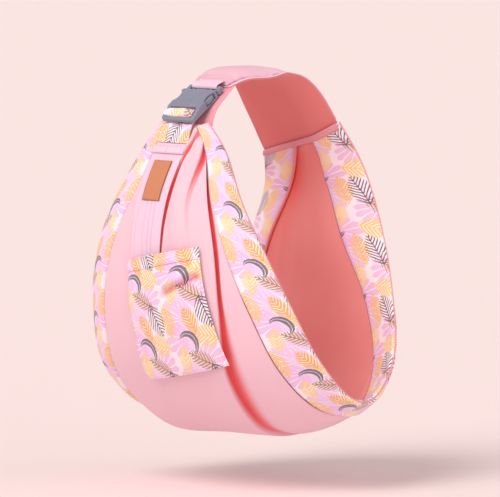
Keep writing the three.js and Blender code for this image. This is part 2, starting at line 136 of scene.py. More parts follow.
def soft_sun(name, towards, spread, power, colour):
    """A distant lamp: the same strength everywhere, so that the floor is even, and wide, so that shadows are soft."""
    light = bpy.data.lights.new(name, "SUN")
    light.angle, light.energy, light.color = math.radians(spread), power, srgb(colour)[:3]
    lamp = bpy.data.objects.new(name, light)
    lamp.rotation_euler = Vector(towards).to_track_quat("Z", "Y").to_euler()
    bpy.context.scene.collection.objects.link(lamp)


plain_floor()
soft_sun("key_light", to_camera - to_right * 0.9 + Vector((0, 0, 1.25)), 40, 2.0, "#FFFAF6")
soft_sun("fill_light", to_camera + to_right * 1.1 + Vector((0, 0, 0.5)), 70, 0.75, "#FFF6F4")
room = bpy.data.worlds.new("pale_room")
room.use_nodes = True
room.node_tree.nodes["Background"].inputs["Color"].default_value = srgb("#FFF6F4")
room.node_tree.nodes["Background"].inputs["Strength"].default_value = 0.55
bpy.context.scene.world = room

# %% [markdown]
# ## Cloth finishes
#
# All the cloth is plain-woven cotton, piece-dyed pink or salmon, or printed. Weaving gives a fine bump, a soft
# sheen from loose fibre ends, and slight unevenness in the dye. The threads are about 0.4 mm apart, which is finer
# than a picture of the whole sling can show, so they are drawn at 1.1 mm. A deep fold is lit only by light that has
# already bounced off dyed cloth, so it looks redder: each piece carries a fold number, and that shade is painted
# into its colour by mixing it towards a darker red.

# %% Cotton
THREAD_MM = 1.1
CLOTH_IOR = 1.5


def weave_bump(tree, place, strength):
    """The height of a plain weave: one sine along each thread direction, multiplied, with a little fluff."""
    split = add(tree, "SeparateXYZ", place)
    turns = 2 * math.pi / THREAD_MM
    warp = add(tree, "Math", add(tree, "Math", split.outputs[0], turns, operation="MULTIPLY"), operation="SINE")
    weft = add(tree, "Math", add(tree, "Math", split.outputs[1], turns, operation="MULTIPLY"), operation="SINE")
    cross = add(tree, "Math", warp, weft, operation="MULTIPLY")
    fluff = add(tree, "TexNoise", place, None, 0.35, 4.0)
    height = add(tree, "Math", cross, fluff, operation="ADD")
    return add(tree, "Bump", strength, 0.12 * MM, None, height)


def cloth_place(tree, has_map):
    """Where a point lies on its cloth, in millimetres: the piece's own map, or the object's coordinates."""
    if has_map:
        return add(tree, "UVMap", uv_map="cloth")
    coordinates = add(tree, "TexCoord")
    return add(tree, "VectorMath", coordinates.outputs["Object"], (1000, 1000, 1000), operation="MULTIPLY")


def dyed_and_fold_shaded(tree, place, colour, deep):
    """Piece-dyed cloth, uneven by a few percent, with painted shade: a darker red mixed in where the fold number is
    high.
    """
    cloud = add(tree, "TexNoise", place, None, 0.018, 3.0)
    paler = tuple(1 - 0.93 * (1 - x) for x in srgb(colour)[:3]) + (1,)
    uneven = add(tree, "MixRGB", cloud, srgb(colour), paler)
    fold = add(tree, "Attribute", attribute_name="painted_fold_shade")
    return add(tree, "MixRGB", fold.outputs["Fac"], uneven, srgb(deep))


def cotton(name, colour, deep, has_map=True, sheen=0.2):
    """Plain-woven cotton, piece-dyed: matt, with a soft sheen."""
    material, tree = new_material(name)
    place = cloth_place(tree, has_map)
    shader = add(tree, "BsdfPrincipled", dyed_and_fold_shaded(tree, place, colour, deep), named={
        "Roughness": 0.88, "IOR": CLOTH_IOR, "Sheen Weight": sheen, "Sheen Roughness": 0.5,
        "Normal": weave_bump(tree, place, 0.5)})
    add(tree, "OutputMaterial", shader)
    return material


# Each cloth's second colour is painted shade: the darker red that its colour is mixed towards in deep folds.
pink_cotton = cotton("pink_cotton_plain_woven", "#F0C3D1", "#EC5557")
pink_cotton_unmapped = cotton("pink_cotton_over_foam", "#E6B5C6", "#E86A70", has_map=False)
strap_cotton = cotton("pink_strap_cotton", "#EDC8DC", "#CF7F9A")
rose_cotton = cotton("rose_cotton_turned_edge", "#E89AA8", "#D9616B")
salmon_cotton = cotton("salmon_cotton_lining", "#F29390", "#F03A28")
salmon_pad_cotton = cotton("salmon_cotton_pad_underside", "#EA807E", "#E0504C")
print("cloth finishes made")

# %% [markdown]
# ## The leaf print
#
# The printed cotton has a lavender-white ground with big soft leaves in yellow, orange and pink, and over them thin
# palm fronds in tan and grey and one arched leaf, in a repeat 88 mm wide and 92 mm long. A drawn picture would do
# this, but each motif is a short formula in its own turned coordinates instead, so the print stays sharp at any
# size. A frond is a lens shape filled with slanting stripes, a fan leaf is a scalloped disc, and the arched leaf is
# a tapering piece of a ring.

# %% Motifs
REPEAT_MM = (88.0, 92.0)


def motif_place(tree, place, centre, turn):
    """x and y of a point in one motif's own frame, repeated over the cloth, in millimetres."""
    moved = add(tree, "VectorMath", place, (*centre, 0), operation="SUBTRACT")
    half = (REPEAT_MM[0] / 2, REPEAT_MM[1] / 2, 1)
    wrapped = add(tree, "VectorMath", moved, half, tuple(-x for x in half), operation="WRAP")
    turned = add(tree, "VectorRotate", wrapped, None, None, math.radians(-turn), rotation_type="Z_AXIS")
    split = add(tree, "SeparateXYZ", turned)
    return split.outputs[0], split.outputs[1]


def frond(tree, x, y, length, width, fill):
    """A palm frond: inside a lens of that length and width, with a notched edge, leaflets that are stripes of
    x + |y| every 5.6 mm, filled to that share, and the stem."""
    side = add(tree, "Math", y, operation="ABSOLUTE")
    sweep = add(tree, "Math", add(tree, "Math", x, side, operation="ADD"), 1 / 5.6, operation="MULTIPLY")
    phase = add(tree, "Math", sweep, operation="FRACT")
    share = add(tree, "Math", x, 2 / length, operation="MULTIPLY")
    square = add(tree, "Math", share, share, operation="MULTIPLY")
    lens = add(tree, "Math", square, -width / 2, width / 2, operation="MULTIPLY_ADD")
    limit = add(tree, "Math", phase, -6.5, lens, operation="MULTIPLY_ADD")
    inside = add(tree, "Math", side, limit, operation="LESS_THAN")
    leaflet = add(tree, "Math", phase, fill, operation="LESS_THAN")
    stem = add(tree, "Math", side, 0.6, operation="LESS_THAN")
    return add(tree, "Math", add(tree, "Math", leaflet, stem, operation="MAXIMUM"), inside, operation="MULTIPLY")


def fan_leaf(tree, x, y, length, width, fill):
    """A fan leaf: nearer its foot than a reach that falls away sideways and is scalloped between its 17 veins,
    which leave lines of the ground."""
    along = add(tree, "Math", x, length / 2, operation="ADD")
    wide = add(tree, "Math", y, length / width, operation="MULTIPLY")
    angle = add(tree, "Math", wide, along, operation="ARCTAN2")
    squares = add(tree, "Math", add(tree, "Math", wide, wide, operation="MULTIPLY"),
                  add(tree, "Math", along, along, operation="MULTIPLY"), operation="ADD")
    radius = add(tree, "Math", squares, operation="SQRT")
    lobes = add(tree, "Math", add(tree, "Math", angle, 17, operation="MULTIPLY"), operation="COSINE")
    fall = add(tree, "Math", add(tree, "Math", angle, 0.8, operation="MULTIPLY"), operation="COSINE")
    scallop = add(tree, "Math", lobes, 0.07 * length, 0.9 * length, operation="MULTIPLY_ADD")
    inside = add(tree, "Math", radius, add(tree, "Math", fall, scallop, operation="MULTIPLY"), operation="LESS_THAN")
    vein = add(tree, "Math", lobes, -fill, operation="GREATER_THAN")
    return add(tree, "Math", inside, vein, operation="MULTIPLY")


def arched_leaf(tree, x, y, radius, width, fill):
    """An arched leaf: near a circle of that radius, thinning to nothing towards both ends, with a pale rib."""
    angle = add(tree, "Math", y, x, operation="ARCTAN2")
    squares = add(tree, "Math", add(tree, "Math", x, x, operation="MULTIPLY"),
                  add(tree, "Math", y, y, operation="MULTIPLY"), operation="ADD")
    off = add(tree, "Math", add(tree, "Math", squares, operation="SQRT"), radius, operation="SUBTRACT")
    far = add(tree, "Math", off, operation="ABSOLUTE")
    bend = add(tree, "Math", angle, angle, operation="MULTIPLY")
    limit = add(tree, "Math", bend, -width * fill, width, operation="MULTIPLY_ADD")
    inside = add(tree, "Math", far, limit, operation="LESS_THAN")
    rib = add(tree, "Math", far, 0.45, operation="GREATER_THAN")
    return add(tree, "Math", inside, rib, operation="MULTIPLY")


# Each motif: its shape, where its middle lies in the repeat, the way its tip points, its length and width, its
# fill, its colour, and how strongly it covers what is under it.
MOTIFS = [
    (fan_leaf, (9, 18), 205, 44, 42, 0.80, "#EDC8F0", 0.9),
    (fan_leaf, (6, 52), 180, 42, 40, 0.80, "#F0BFE8", 0.9),
    (fan_leaf, (62, 82), -20, 40, 38, 0.78, "#F1C2E4", 0.9),
    (fan_leaf, (34, 6), 60, 38, 36, 0.80, "#F1CBEE", 0.9),
    (fan_leaf, (30, 50), 240, 36, 34, 0.80, "#EFC6EF", 0.9),
    (frond, (60, 55), 20, 48, 34, 0.62, "#F8CF7C", 1.0),
    (frond, (87, 26), -95, 54, 30, 0.62, "#F7C871", 1.0),
    (frond, (13, 80), 100, 46, 26, 0.62, "#F9D68E", 1.0),
    (frond, (38, 30), 68, 46, 27, 0.66, "#F1B458", 1.0),
    (frond, (43, 84), 33, 54, 24, 0.62, "#D9AE6C", 1.0),
    (frond, (43, 84), 33, 54, 25, 0.24, "#8F7D6F", 1.0),
    (frond, (64, 22), -108, 54, 32, 0.38, "#6F6169", 1.0),
    (arched_leaf, (26, 62), -42, 15, 4.6, 0.28, "#7F787D", 1.0),
]


# %% Printed cotton
def printed_cotton():
    """White cotton, screen-printed in soft colours, which sink into the threads and stay matt."""
    material, tree = new_material("printed_cotton_leaves")
    place = cloth_place(tree, True)
    wobble = add(tree, "TexNoise", place, None, 0.11, 2.0)
    nudge = add(tree, "VectorMath", wobble.outputs["Color"], (2.4, 2.4, 0), (-1.2, -1.2, 0),
                operation="MULTIPLY_ADD")
    drawn = add(tree, "VectorMath", place, nudge, operation="ADD")
    wash = add(tree, "TexNoise", place, None, 0.03, 2.0)
    colour = add(tree, "MixRGB", wash, srgb("#FBF5F8"), srgb("#F4E4F6"))
    for shape, centre, turn, length, width, fill, ink, cover in MOTIFS:
        x, y = motif_place(tree, drawn, centre, turn)
        mask = add(tree, "Math", shape(tree, x, y, length, width, fill), cover, operation="MULTIPLY")
        colour = add(tree, "MixRGB", mask, colour, srgb(ink))
    # Painted shade: the print is multiplied towards a deep pink where the fold number is high.
    fold = add(tree, "Attribute", attribute_name="painted_fold_shade")
    shaded = add(tree, "MixRGB", fold.outputs["Fac"], colour, srgb("#E2508C"), blend_type="MULTIPLY")
    bump = weave_bump(tree, place, 0.4)
    shader = add(tree, "BsdfPrincipled", shaded, named={
        "Roughness": 0.85, "IOR": CLOTH_IOR, "Sheen Weight": 0.15, "Sheen Roughness": 0.5, "Normal": bump})
    add(tree, "OutputMaterial", shader)
    return material


leaf_print = printed_cotton()
print("print nodes", len(leaf_print.node_tree.nodes))

# %% [markdown]
# ## Leather, plastic and thread
#
# The label is vegetable-tanned leather: a closed grain of small cells, a satin top coat and a darker, burnished
# edge. The buckle is moulded acetal, slate grey all through: satin, with a very fine spark texture from its mould.
# The sewing thread is twisted polyester, a little glossier than the cloth it lies on.


# %% Leather
def tanned_leather():
    """Tan leather with a 0.9 mm grain, darker towards its edges, where edge_dark is 1."""
    material, tree = new_material("tan_leather_burnished_edge")
    place = cloth_place(tree, True)
    grain = add(tree, "TexVoronoi", place, None, 1.1)
    cloud = add(tree, "TexNoise", place, None, 0.12, 4.0)
    tone = add(tree, "MixRGB", cloud, srgb("#C47C58"), srgb("#CE8863"))
    edge = add(tree, "Attribute", attribute_name="edge_dark")
    burnt = add(tree, "MixRGB", edge.outputs["Fac"], tone, srgb("#9A5631"))
    bump = add(tree, "Bump", 0.35, 0.1 * MM, None, grain)
    add(tree, "OutputMaterial", add(tree, "BsdfPrincipled", burnt, named={
        "Roughness": 0.55, "IOR": 1.45, "Normal": bump}))
    return material


def moulded_acetal():
    """Slate grey acetal, injection moulded: satin, with a fine spark texture and slight flow marks."""
    material, tree = new_material("slate_acetal_moulded")
    place = cloth_place(tree, False)
    spark = add(tree, "TexNoise", place, None, 2.2, 2.0)
    flow = add(tree, "TexNoise", place, None, 0.05, 2.0)
    tone = add(tree, "MixRGB", flow, srgb("#7D7F92"), srgb("#8B8DA0"))
    rough = add(tree, "MapRange", spark, 0.0, 1.0, 0.36, 0.5)
    bump = add(tree, "Bump", 0.25, 0.05 * MM, None, spark)
    add(tree, "OutputMaterial", add(tree, "BsdfPrincipled", tone, named={
        "Roughness": rough, "IOR": 1.48, "Normal": bump}))
    return material


def sewing_thread(name, colour):
    """Twisted polyester thread: bands 0.5 mm apart, and slightly glossy."""
    material, tree = new_material(name)
    place = cloth_place(tree, False)
    twist = add(tree, "TexNoise", place, None, 2.0, 1.0)
    paler = tuple(1 - 0.88 * (1 - x) for x in srgb(colour)[:3]) + (1,)
    tone = add(tree, "MixRGB", twist, srgb(colour), paler)
    add(tree, "OutputMaterial", add(tree, "BsdfPrincipled", tone, named={"Roughness": 0.5, "IOR": 1.55}))
    return material


tan_leather = tanned_leather()
slate_acetal = moulded_acetal()
rose_thread = sewing_thread("rose_polyester_thread", "#D993AB")
brown_thread = sewing_thread("brown_polyester_thread", "#8A5A4A")
grey_thread = sewing_thread("grey_polyester_thread", "#8C7480")

# %% [markdown]
# ## The pouch's surface
#
# The pouch is cut from two cloths and gathered under the buckle, so its width grows from nothing much to 450 mm and
# shrinks again at the back seam. Its shape is a mouth edge and a middle line, each a smooth curve through a few
# stations, and a cup between them. A point on it has a station along it and a place across it, from -1 at the near
# mouth edge to 1 at the far one.


# %% Curves and surface
def smooth(x):
    """3x^2 - 2x^3 between 0 and 1, and level outside."""
    k = np.clip(x, 0, 1)
    return k * k * (3 - 2 * k)


def curve_through(points, at):
    """A cubic through the points, one each whole step of at, whose slope at each is half the step across it."""
    points = np.asarray(points, float)
    if points.ndim == 1:
        return curve_through(points[:, None], at)[..., 0]
    ends = np.vstack([2 * points[0] - points[1], points, 2 * points[-1] - points[-2]])
    at = np.clip(at, 0, len(points) - 1)
    i = np.minimum(np.floor(at).astype(int), len(points) - 2)
    k = (at - i)[..., None]
    before, here, after, beyond = ends[i], ends[i + 1], ends[i + 2], ends[i + 3]
    leave, arrive = (after - before) / 2, (beyond - here) / 2
    bend = -3 * here + 3 * after - 2 * leave - arrive
    return here + leave * k + bend * k**2 + (2 * here - 2 * after + leave + arrive) * k**3


# Mouth edge x, half width and z, then the middle line's x and z, at each station.
POUCH_STATIONS = MM * np.array([
    [-135, 46, -60, -143, -66],
    [-136, 84, -105, -170, -108],
    [-146, 125, -175, -203, -172],
    [-142, 166, -245, -217, -245],
    [-120, 199, -325, -208, -335],
    [-80, 218, -405, -165, -435],
    [-18, 225, -466, -72, -520],
    [50, 214, -470, 45, -527],
    [110, 195, -415, 112, -462],
    [134, 171, -335, 128, -353],
    [150, 135, -250, 120, -252],
    [143, 102, -170, 126, -170],
    [109, 72, -98, 109, -98],
])
FAR_REACH = [1, 0.84, 0.77, 0.77, 0.805, 0.86, 0.92, 0.96, 0.99, 1, 1, 1, 1]
BACK_END = 12
CUP_POWER = 3.2
SEAM_SKEW = 18 * MM
BAND_WIDTH = 60 * MM
STRAP_HALF_WIDTH = 32 * MM


def reach_at(station, side):
    """How far the cloth reaches to one side, as a share of the mouth's half width."""
    return np.where(side > 0, curve_through(FAR_REACH, station), 1.0)


def half_width(station):
    """Half the distance between the two mouth edges, before the far one is cut back."""
    return curve_through(POUCH_STATIONS[:, 1], station)


def pouch_surface(station, across):
    """Mouth edge plus the way to the middle line times 1 - |share|^3.2, with share the reach times across."""
    station, across = np.broadcast_arrays(np.asarray(station, float), np.asarray(across, float))
    x, half, z, middle_x, middle_z = np.moveaxis(curve_through(POUCH_STATIONS, station), -1, 0)
    share = across * reach_at(station, across)
    cup = 1 - np.abs(share) ** CUP_POWER
    skew = -SEAM_SKEW * across * smooth((station - 10) / 2)
    return np.stack([x + (middle_x - x) * cup, half * share, z + (middle_z - z) * cup + skew], -1)


def hang(station, across):
    """How far the cloth hangs out from the plain surface, in metres: low bells where it is full."""
    edge = 8.5 * np.exp(-(((station - 5.15) / 0.72) ** 2)) * smooth((across - 0.62) / 0.33)
    belly = 7.0 * np.exp(-(((station - 6.15) / 0.5) ** 2) - ((across - 0.44) / 0.2) ** 2)
    tuck = -5.0 * np.exp(-(((station - 5.9) / 0.2) ** 2) - ((across - 0.755) / 0.06) ** 2)
    return (edge + belly + tuck) * MM


NEAR_LIFT = np.array([9.5, 0, 11.5]) * MM
NEAR_BULGE = np.array([5, 0, 6]) * MM


def near_lift(across, lift, bulge=0.0):
    """The near edge is carried up and outwards where the pad pulls on it: shares of a lift and of a bulge, which
    start at 0.4 across and grow to the edge."""
    grown = np.maximum((-across - 0.4) / 0.6, 0) ** 1.3
    return (grown * lift)[..., None] * NEAR_LIFT + (grown * bulge)[..., None] * NEAR_BULGE


def pouch_point(station, across, height):
    """A point at a height above the surface, out along the normal: over times along."""
    step = 0.02
    ahead = pouch_surface(np.clip(station + step, 0, BACK_END), across)
    along = ahead - pouch_surface(np.clip(station - step, 0, BACK_END), across)
    over = pouch_surface(station, across + step) - pouch_surface(station, across - step)
    normal = np.cross(over, along)
    normal /= np.linalg.norm(normal, axis=-1, keepdims=True)
    out = normal * (np.asarray(height) + hang(station, across))[..., None]
    return pouch_surface(station, across) + out + near_lift(across, smooth((station - 9) / 3))


def band_seam(station, side):
    """Where a band's seam lies across, from 0 to 1. At the back both lean towards the far side, and at the bottom
    the near band is narrow, because the pouch's cloth laps over it."""
    gathered = 0.42 + 0.58 * smooth(station / (2 if side > 0 else 4))
    cupped = 1 + (0.17 if side > 0 else 0.45) * smooth((10.5 - station) / 3)
    width = half_width(station) * reach_at(station, side)
    seam = 1 - BAND_WIDTH * gathered / (width * cupped)
    seam = np.maximum(seam, (STRAP_HALF_WIDTH + 2 * MM) * smooth(3.5 - station) / width)
    if side > 0:
        return seam - 0.14 * smooth((station - 9.2) / 2.6)
    return seam + 0.15 * smooth((station - 11) / 0.9) + 0.065 * np.exp(-(((station - 6.5) / 0.8) ** 2))


print("mouth edge at station 6", pouch_surface(6, -1).round(3), pouch_surface(6, 1).round(3))


# %% Closed pieces from rings
def closed_piece(name, rings, cloth, numbers=None):
    """A closed mesh through rings of points. Each ring's second half runs back along its first, so a strip
    between the halves closes each end. cloth is each point's place on its cloth in millimetres, kept as a UV
    map, and numbers are more values for each point, kept as attributes."""
    rows, count = rings.shape[:2]
    index = np.arange(rows * count).reshape(rows, count)
    ahead = np.roll(index, -1, axis=1)
    sides = np.stack([index[:-1], ahead[:-1], ahead[1:], index[1:]], -1).reshape(-1, 4)
    j = np.arange(count // 2 - 1)
    cap = np.stack([j, j + 1, count - 2 - j, count - 1 - j], -1)
    faces = np.vstack([sides, cap[:, ::-1], cap + index[-1, 0]])
    points = rings.reshape(-1, 3)
    a, b, c, d = (points[faces[:, k]] for k in range(4))
    volume = np.einsum("ij,ij", np.cross(a, b), c) + np.einsum("ij,ij", np.cross(a, c), d)
    if volume < 0:
        faces = faces[:, ::-1]
    mesh = bpy.data.meshes.new(name)
    mesh.from_pydata(points, [], faces.tolist())
    mesh.polygons.foreach_set("use_smooth", np.ones(len(faces), bool))
    mesh.uv_layers.new(name="cloth").data.foreach_set("uv", cloth.reshape(-1, 2)[faces.ravel()].ravel())
    for key, values in (numbers or {}).items():
        attribute = mesh.attributes.new(key, "FLOAT", "POINT")
        attribute.data.foreach_set("value", values.ravel().astype(np.float32))
    piece = bpy.data.objects.new(name, mesh)
    bpy.context.scene.collection.objects.link(piece)
    return piece


def two_faced(top, bottom):
    """A ring that runs out along the top and back along the bottom, for points or for any numbers."""
    return np.concatenate([top, bottom[:, ::-1]], axis=1)


def wear(piece, material, slot, body, *replaced):
    """Gives a piece its finish, the body that it moves with and the nodes it stands for. slot is not used."""
    piece.data.materials.append(material)
    if body:
        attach(piece, body)
    if replaced:
        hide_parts(*replaced)
    low, high = np.array(piece.bound_box).min(0), np.array(piece.bound_box).max(0)
    print(piece.name, len(piece.data.polygons), "faces,", ((high - low) / MM).round(0), "mm")
    return piece


def cloth_area(piece):
    """Half of a thin closed piece's area: the area of its cloth, in square metres."""
    areas = np.empty(len(piece.data.polygons))
    piece.data.polygons.foreach_get("area", areas)
    return areas.sum() / 2


# %% [markdown]
# ## Folds
#
# Where the wide pouch is gathered under the buckle, its spare cloth lies in folds that fan out downwards. The
# deepest runs beside the near band all the way to the bottom: there the front laps over towards the band. A fold
# here is a line on the surface. On its inner side the cloth is lifted into a lip that also leans over the line. On
# its outer side lies a channel, with a width and a far bank that change along the line. Light in the channel has
# bounced off dyed cloth, so it looks redder, and that is painted into the channel's colour as shade.

# %% Fold lines
# For each fold, at stations 0, 1, 2 and so on: where it lies across the pouch, its strength, the width of its
# channel and the length of its far bank in millimetres. Then the heights of its lip and of its channel.
FOLDS = [
    ([-0.80, -0.728, -0.712, -0.682, -0.60, -0.482, -0.405, -0.40, -0.40], [0.5, 1, 1, 1, 1, 1, 0.85, 0, 0],
     [2, 4, 5, 5, 5, 8, 6, 3, 2], [3, 3, 3, 3, 6, 24, 30, 16, 8], 3.5, 8.0),
    ([-0.79, -0.655, -0.50, -0.49], [0.5, 1.0, 0.3, 0], [1, 4, 4, 1], [2, 4, 4, 4], 2.0, 6.0),
    ([-0.73, -0.365, -0.208, -0.152, -0.14], [0.6, 0.9, 1, 0.8, 0], [4, 4, 6.5, 3, 1], [3, 3, 3, 3, 2], 1.0, 6.5),
]


def distance_from(line, station, across):
    """Millimetres towards the middle from a fold line, along the surface's width."""
    width = half_width(station) * reach_at(station, across)
    return (across - curve_through(line, np.minimum(station, len(line) - 1))) * width / MM


LIP_FALL_MM, STEP_MM, LEAN_FALL_MM = 24, 2, 10


def lapped_fold(fold, station, across):
    """Height, lean and painted shade of one fold: the shade is the share of a redder colour laid into its channel.
    The lip falls off exponentially from a narrow step down. The channel is flat for its width, and its far bank rises
    smoothly."""
    line, strength, width, bank, lip, depth = fold
    last = np.minimum(station, len(line) - 1)
    strength, width, bank = (np.maximum(curve_through(v, last), 0) for v in (strength, width, bank))
    distance = distance_from(line, station, across)
    raised = smooth((distance + STEP_MM / 2) / STEP_MM)
    channel = 1 - smooth((-distance - width) / (bank + 0.5))
    fall = np.exp(-np.maximum(distance, 0) / LIP_FALL_MM)
    height = raised * lip * fall - (1 - raised) * depth * channel
    lean = 0.9 * lip * raised * np.exp(-np.maximum(distance, 0) / LEAN_FALL_MM)
    return strength * height, strength * lean, np.minimum(strength, 1) * (1 - raised) * channel


def gathers(station, across):
    """Soft folds that fan out from the buckle, and a slow unevenness: sines across and along, in millimetres."""
    fan = np.sin(across * 31 + 1.2 * np.sin(station * 1.3)) * np.exp(-(((station - 1.3) / 1.5) ** 2))
    broad = np.sin(across * 9.5 + station * 0.9) * np.sin(station * 1.9 + 0.6)
    back = np.sin(across * 21 + 0.5) * smooth((station - 10.2) / 1.6)
    puff = np.exp(-(((station - 2.6) / 1.6) ** 2) - ((across + 0.42) / 0.13) ** 2)
    return 1.5 * fan * smooth(station / 0.5) + 1.2 * broad + 1.6 * back + 3.2 * puff


def beside_strip(station, across):
    """0 under the pleated strip, which lies flat, and 1 beside it and below it."""
    off = np.abs(across * half_width(station) * reach_at(station, across) / MM - 2.5)
    return np.maximum(smooth((off - 28) / 5), smooth((station - 3.5) / 0.4))


def pouch_relief(station, across):
    """Height above the plain surface, shift across and painted shade of the outer cloth at each point."""
    height, lean, painted_shade = (sum(parts) for parts in zip(*(lapped_fold(f, station, across) for f in FOLDS)))
    calm = beside_strip(station, across)
    height = (height + gathers(station, across)) * calm
    return height * MM, -lean * calm * MM / half_width(station), np.clip(painted_shade, 0, 1)


# %% [markdown]
# ## Outer cover and lining
#
# Both are one grid of stations and places, with more rows where the folds are tight. One column follows the main
# fold, so that its edge stays crisp. The cloth is given its real thickness of a little under 2 mm with a second
# face, and both faces share the cloth's own map in millimetres: the width from the middle line, and the length
# along it.


# %% Grid and cloth map
def pouch_rows(count_front, count_back):
    """Stations closer together on the gathered front."""
    front = np.linspace(0, 4, count_front, endpoint=False)
    return np.concatenate([front, np.linspace(4, BACK_END, count_back)])[:, None]


def length_along(station, across):
    """Millimetres along a line on the pouch from station 0, as the sum of short straight steps."""
    dense = np.linspace(0, BACK_END, 1200)
    line = pouch_surface(dense, np.full_like(dense, across))
    steps = np.linalg.norm(np.diff(line, axis=0), axis=1)
    return np.interp(station, dense, np.concatenate([[0], np.cumsum(steps)])) / MM


def pouch_cloth(station, across):
    """Each point's place on the cloth: width from the middle line, and length along it."""
    width = across * half_width(station) * reach_at(station, across) * 1.1 / MM
    return np.stack(np.broadcast_arrays(width, length_along(station, 0.0)), -1)


SEAM_GAP = 0.002


def cover_columns(station):
    """Places across from the near band's seam to the far one's, with one column on the main fold."""
    near = -band_seam(station, -1) + SEAM_GAP
    far = band_seam(station, 1) - SEAM_GAP
    fold = np.clip(curve_through(FOLDS[0][0], np.minimum(station, 8)), near + 0.012, far - 0.2)
    beside = near + (fold - near) * np.linspace(0, 1, 38, endpoint=False)
    closer = np.linspace(0, 1, 130) ** 1.2
    return np.concatenate([beside, fold + (far - fold) * closer], axis=1)


def at_seams(station, across):
    """0 on the bands' seams and at the two ends, rising to 1 a little way in, so that relief dies out there."""
    width = half_width(station) / MM
    near = (across + band_seam(station, -1)) * width
    far = (band_seam(station, 1) - across) * width
    ends = np.minimum(station, BACK_END - station) * 40
    return smooth(near / 2.5 + 0.1) * smooth(far / 9) * smooth(ends / 10 + 0.15)


# %% Outer cover
def outer_cover():
    """Pink cotton, with every fold. Its faces lie 2.2 mm and 0.4 mm above the shared surface, plus relief."""
    station = pouch_rows(160, 128)
    across = cover_columns(station)
    height, shift, painted_shade = pouch_relief(station, across)
    quiet = at_seams(station, across)
    outer = pouch_point(station, across + shift * quiet, height * quiet + 2.2 * MM)
    inner = pouch_point(station, across + shift * quiet, height * quiet + 0.9 * MM)
    cloth = pouch_cloth(station, across)
    # Its fold numbers are painted shade: a redder colour in the folds' channels, faded out at the seams.
    return closed_piece("outer_cover", two_faced(outer, inner), two_faced(cloth, cloth),
                        {"painted_fold_shade": two_faced(painted_shade * quiet, painted_shade * quiet)})


cover = wear(outer_cover(), pink_cotton, "pink_cotton", "carrier",
             "outer_front_panel", "outer_base_panel", "outer_back_panel")
print("outer cover", round(cloth_area(cover), 3), "m2 of cloth")


# %% Lining
def lining_relief(station, across):
    """Two low crests beside one fold that hangs from the back seam, slow waves, and painted shade: a redder colour
    in that fold and in the corner along the far band."""
    line = curve_through([0.40, 0.30, 0.21, 0.115, 0.05], np.clip(station - 8, 0, 4))
    off = (across - line) * half_width(station) / MM
    deep = smooth((station - 8.8) / 1.6)
    crests = 2.5 * (np.exp(-(((off + 16) / 9) ** 2)) + np.exp(-(((off - 16) / 9) ** 2))) * deep
    waves = 1.1 * np.sin(across * 8 + station) * np.sin(station * 1.4)
    corner = (band_seam(station, 1) - across) * half_width(station) / MM
    along = 0.45 * smooth((station - 8.6) / 1.2) + 0.55 * np.exp(-(((station - 11.1) / 0.7) ** 2))
    painted_shade = np.exp(-corner / 21) * along * smooth((BACK_END - station) * 2.5)
    return (crests + waves) * MM, np.clip(painted_shade, 0, 1)


def lining():
    """Salmon cotton, under the cover: a smooth cup with its one fold at the back. On the gathered front it keeps
    clear of the cover's folds."""
    station = pouch_rows(90, 150)
    near, far = -band_seam(station, -1) + SEAM_GAP, band_seam(station, 1) - SEAM_GAP
    across = near + (far - near) * np.linspace(0, 1, 110)
    height, painted_shade = lining_relief(station, across)
    quiet = at_seams(station, across)
    inwards = height * quiet + 9 * MM * smooth(station / 0.6) * smooth((8.5 - station) / 1.5) * quiet
    upper = pouch_point(station, across, -0.6 * MM - inwards)
    lower = pouch_point(station, across, -2.2 * MM - inwards)
    cloth = pouch_cloth(station, across)
    # Its fold numbers are painted shade: a redder colour towards the corner along the far band.
    return closed_piece("lining", two_faced(upper, lower), two_faced(cloth, cloth),
                        {"painted_fold_shade": two_faced(painted_shade, painted_shade)})


inside = wear(lining(), salmon_cotton, "salmon_lining", "carrier",
              "lining_front_panel", "lining_base_panel", "lining_back_panel")
print("lining", round(cloth_area(inside), 3), "m2 of cloth")

# %% [markdown]
# ## Edge bands
#
# Each band is a tube of printed cotton filled with wadding, sewn to the pouch along one side and rounded at the
# mouth edge. A section is flat in the middle, rises quickly from the seam and turns round the edge, so its height
# is a product of two quarter-ellipses. The stitches pull small puckers into both sides, about 9 mm apart.

# %% Band shape
BAND_THICKNESS = 5.5 * MM
BAND_ROWS = 520
BAND_COLUMNS = 26


def band_height(share, station, seed):
    """Half thickness over the band's width: quarter-ellipses at seam and edge, with puckers and slow lumps."""
    from_seam = np.sqrt(np.clip(1 - (1 - np.minimum(share / 0.14, 1)) ** 2, 0, 1))
    from_edge = np.sqrt(np.clip(1 - (1 - np.minimum((1 - share) / 0.10, 1)) ** 2, 0, 1))
    pucker = np.sin(station * 58 + seed) * (np.exp(-share / 0.12) + 0.5 * np.exp(-(1 - share) / 0.10))
    lumps = np.sin(station * 6.1 + seed * 2 + 3 * share) * np.sin(station * 2.3 + seed)
    return BAND_THICKNESS * from_seam * from_edge * (0.93 + 0.07 * lumps) + 0.5 * MM * pucker * from_edge * from_seam


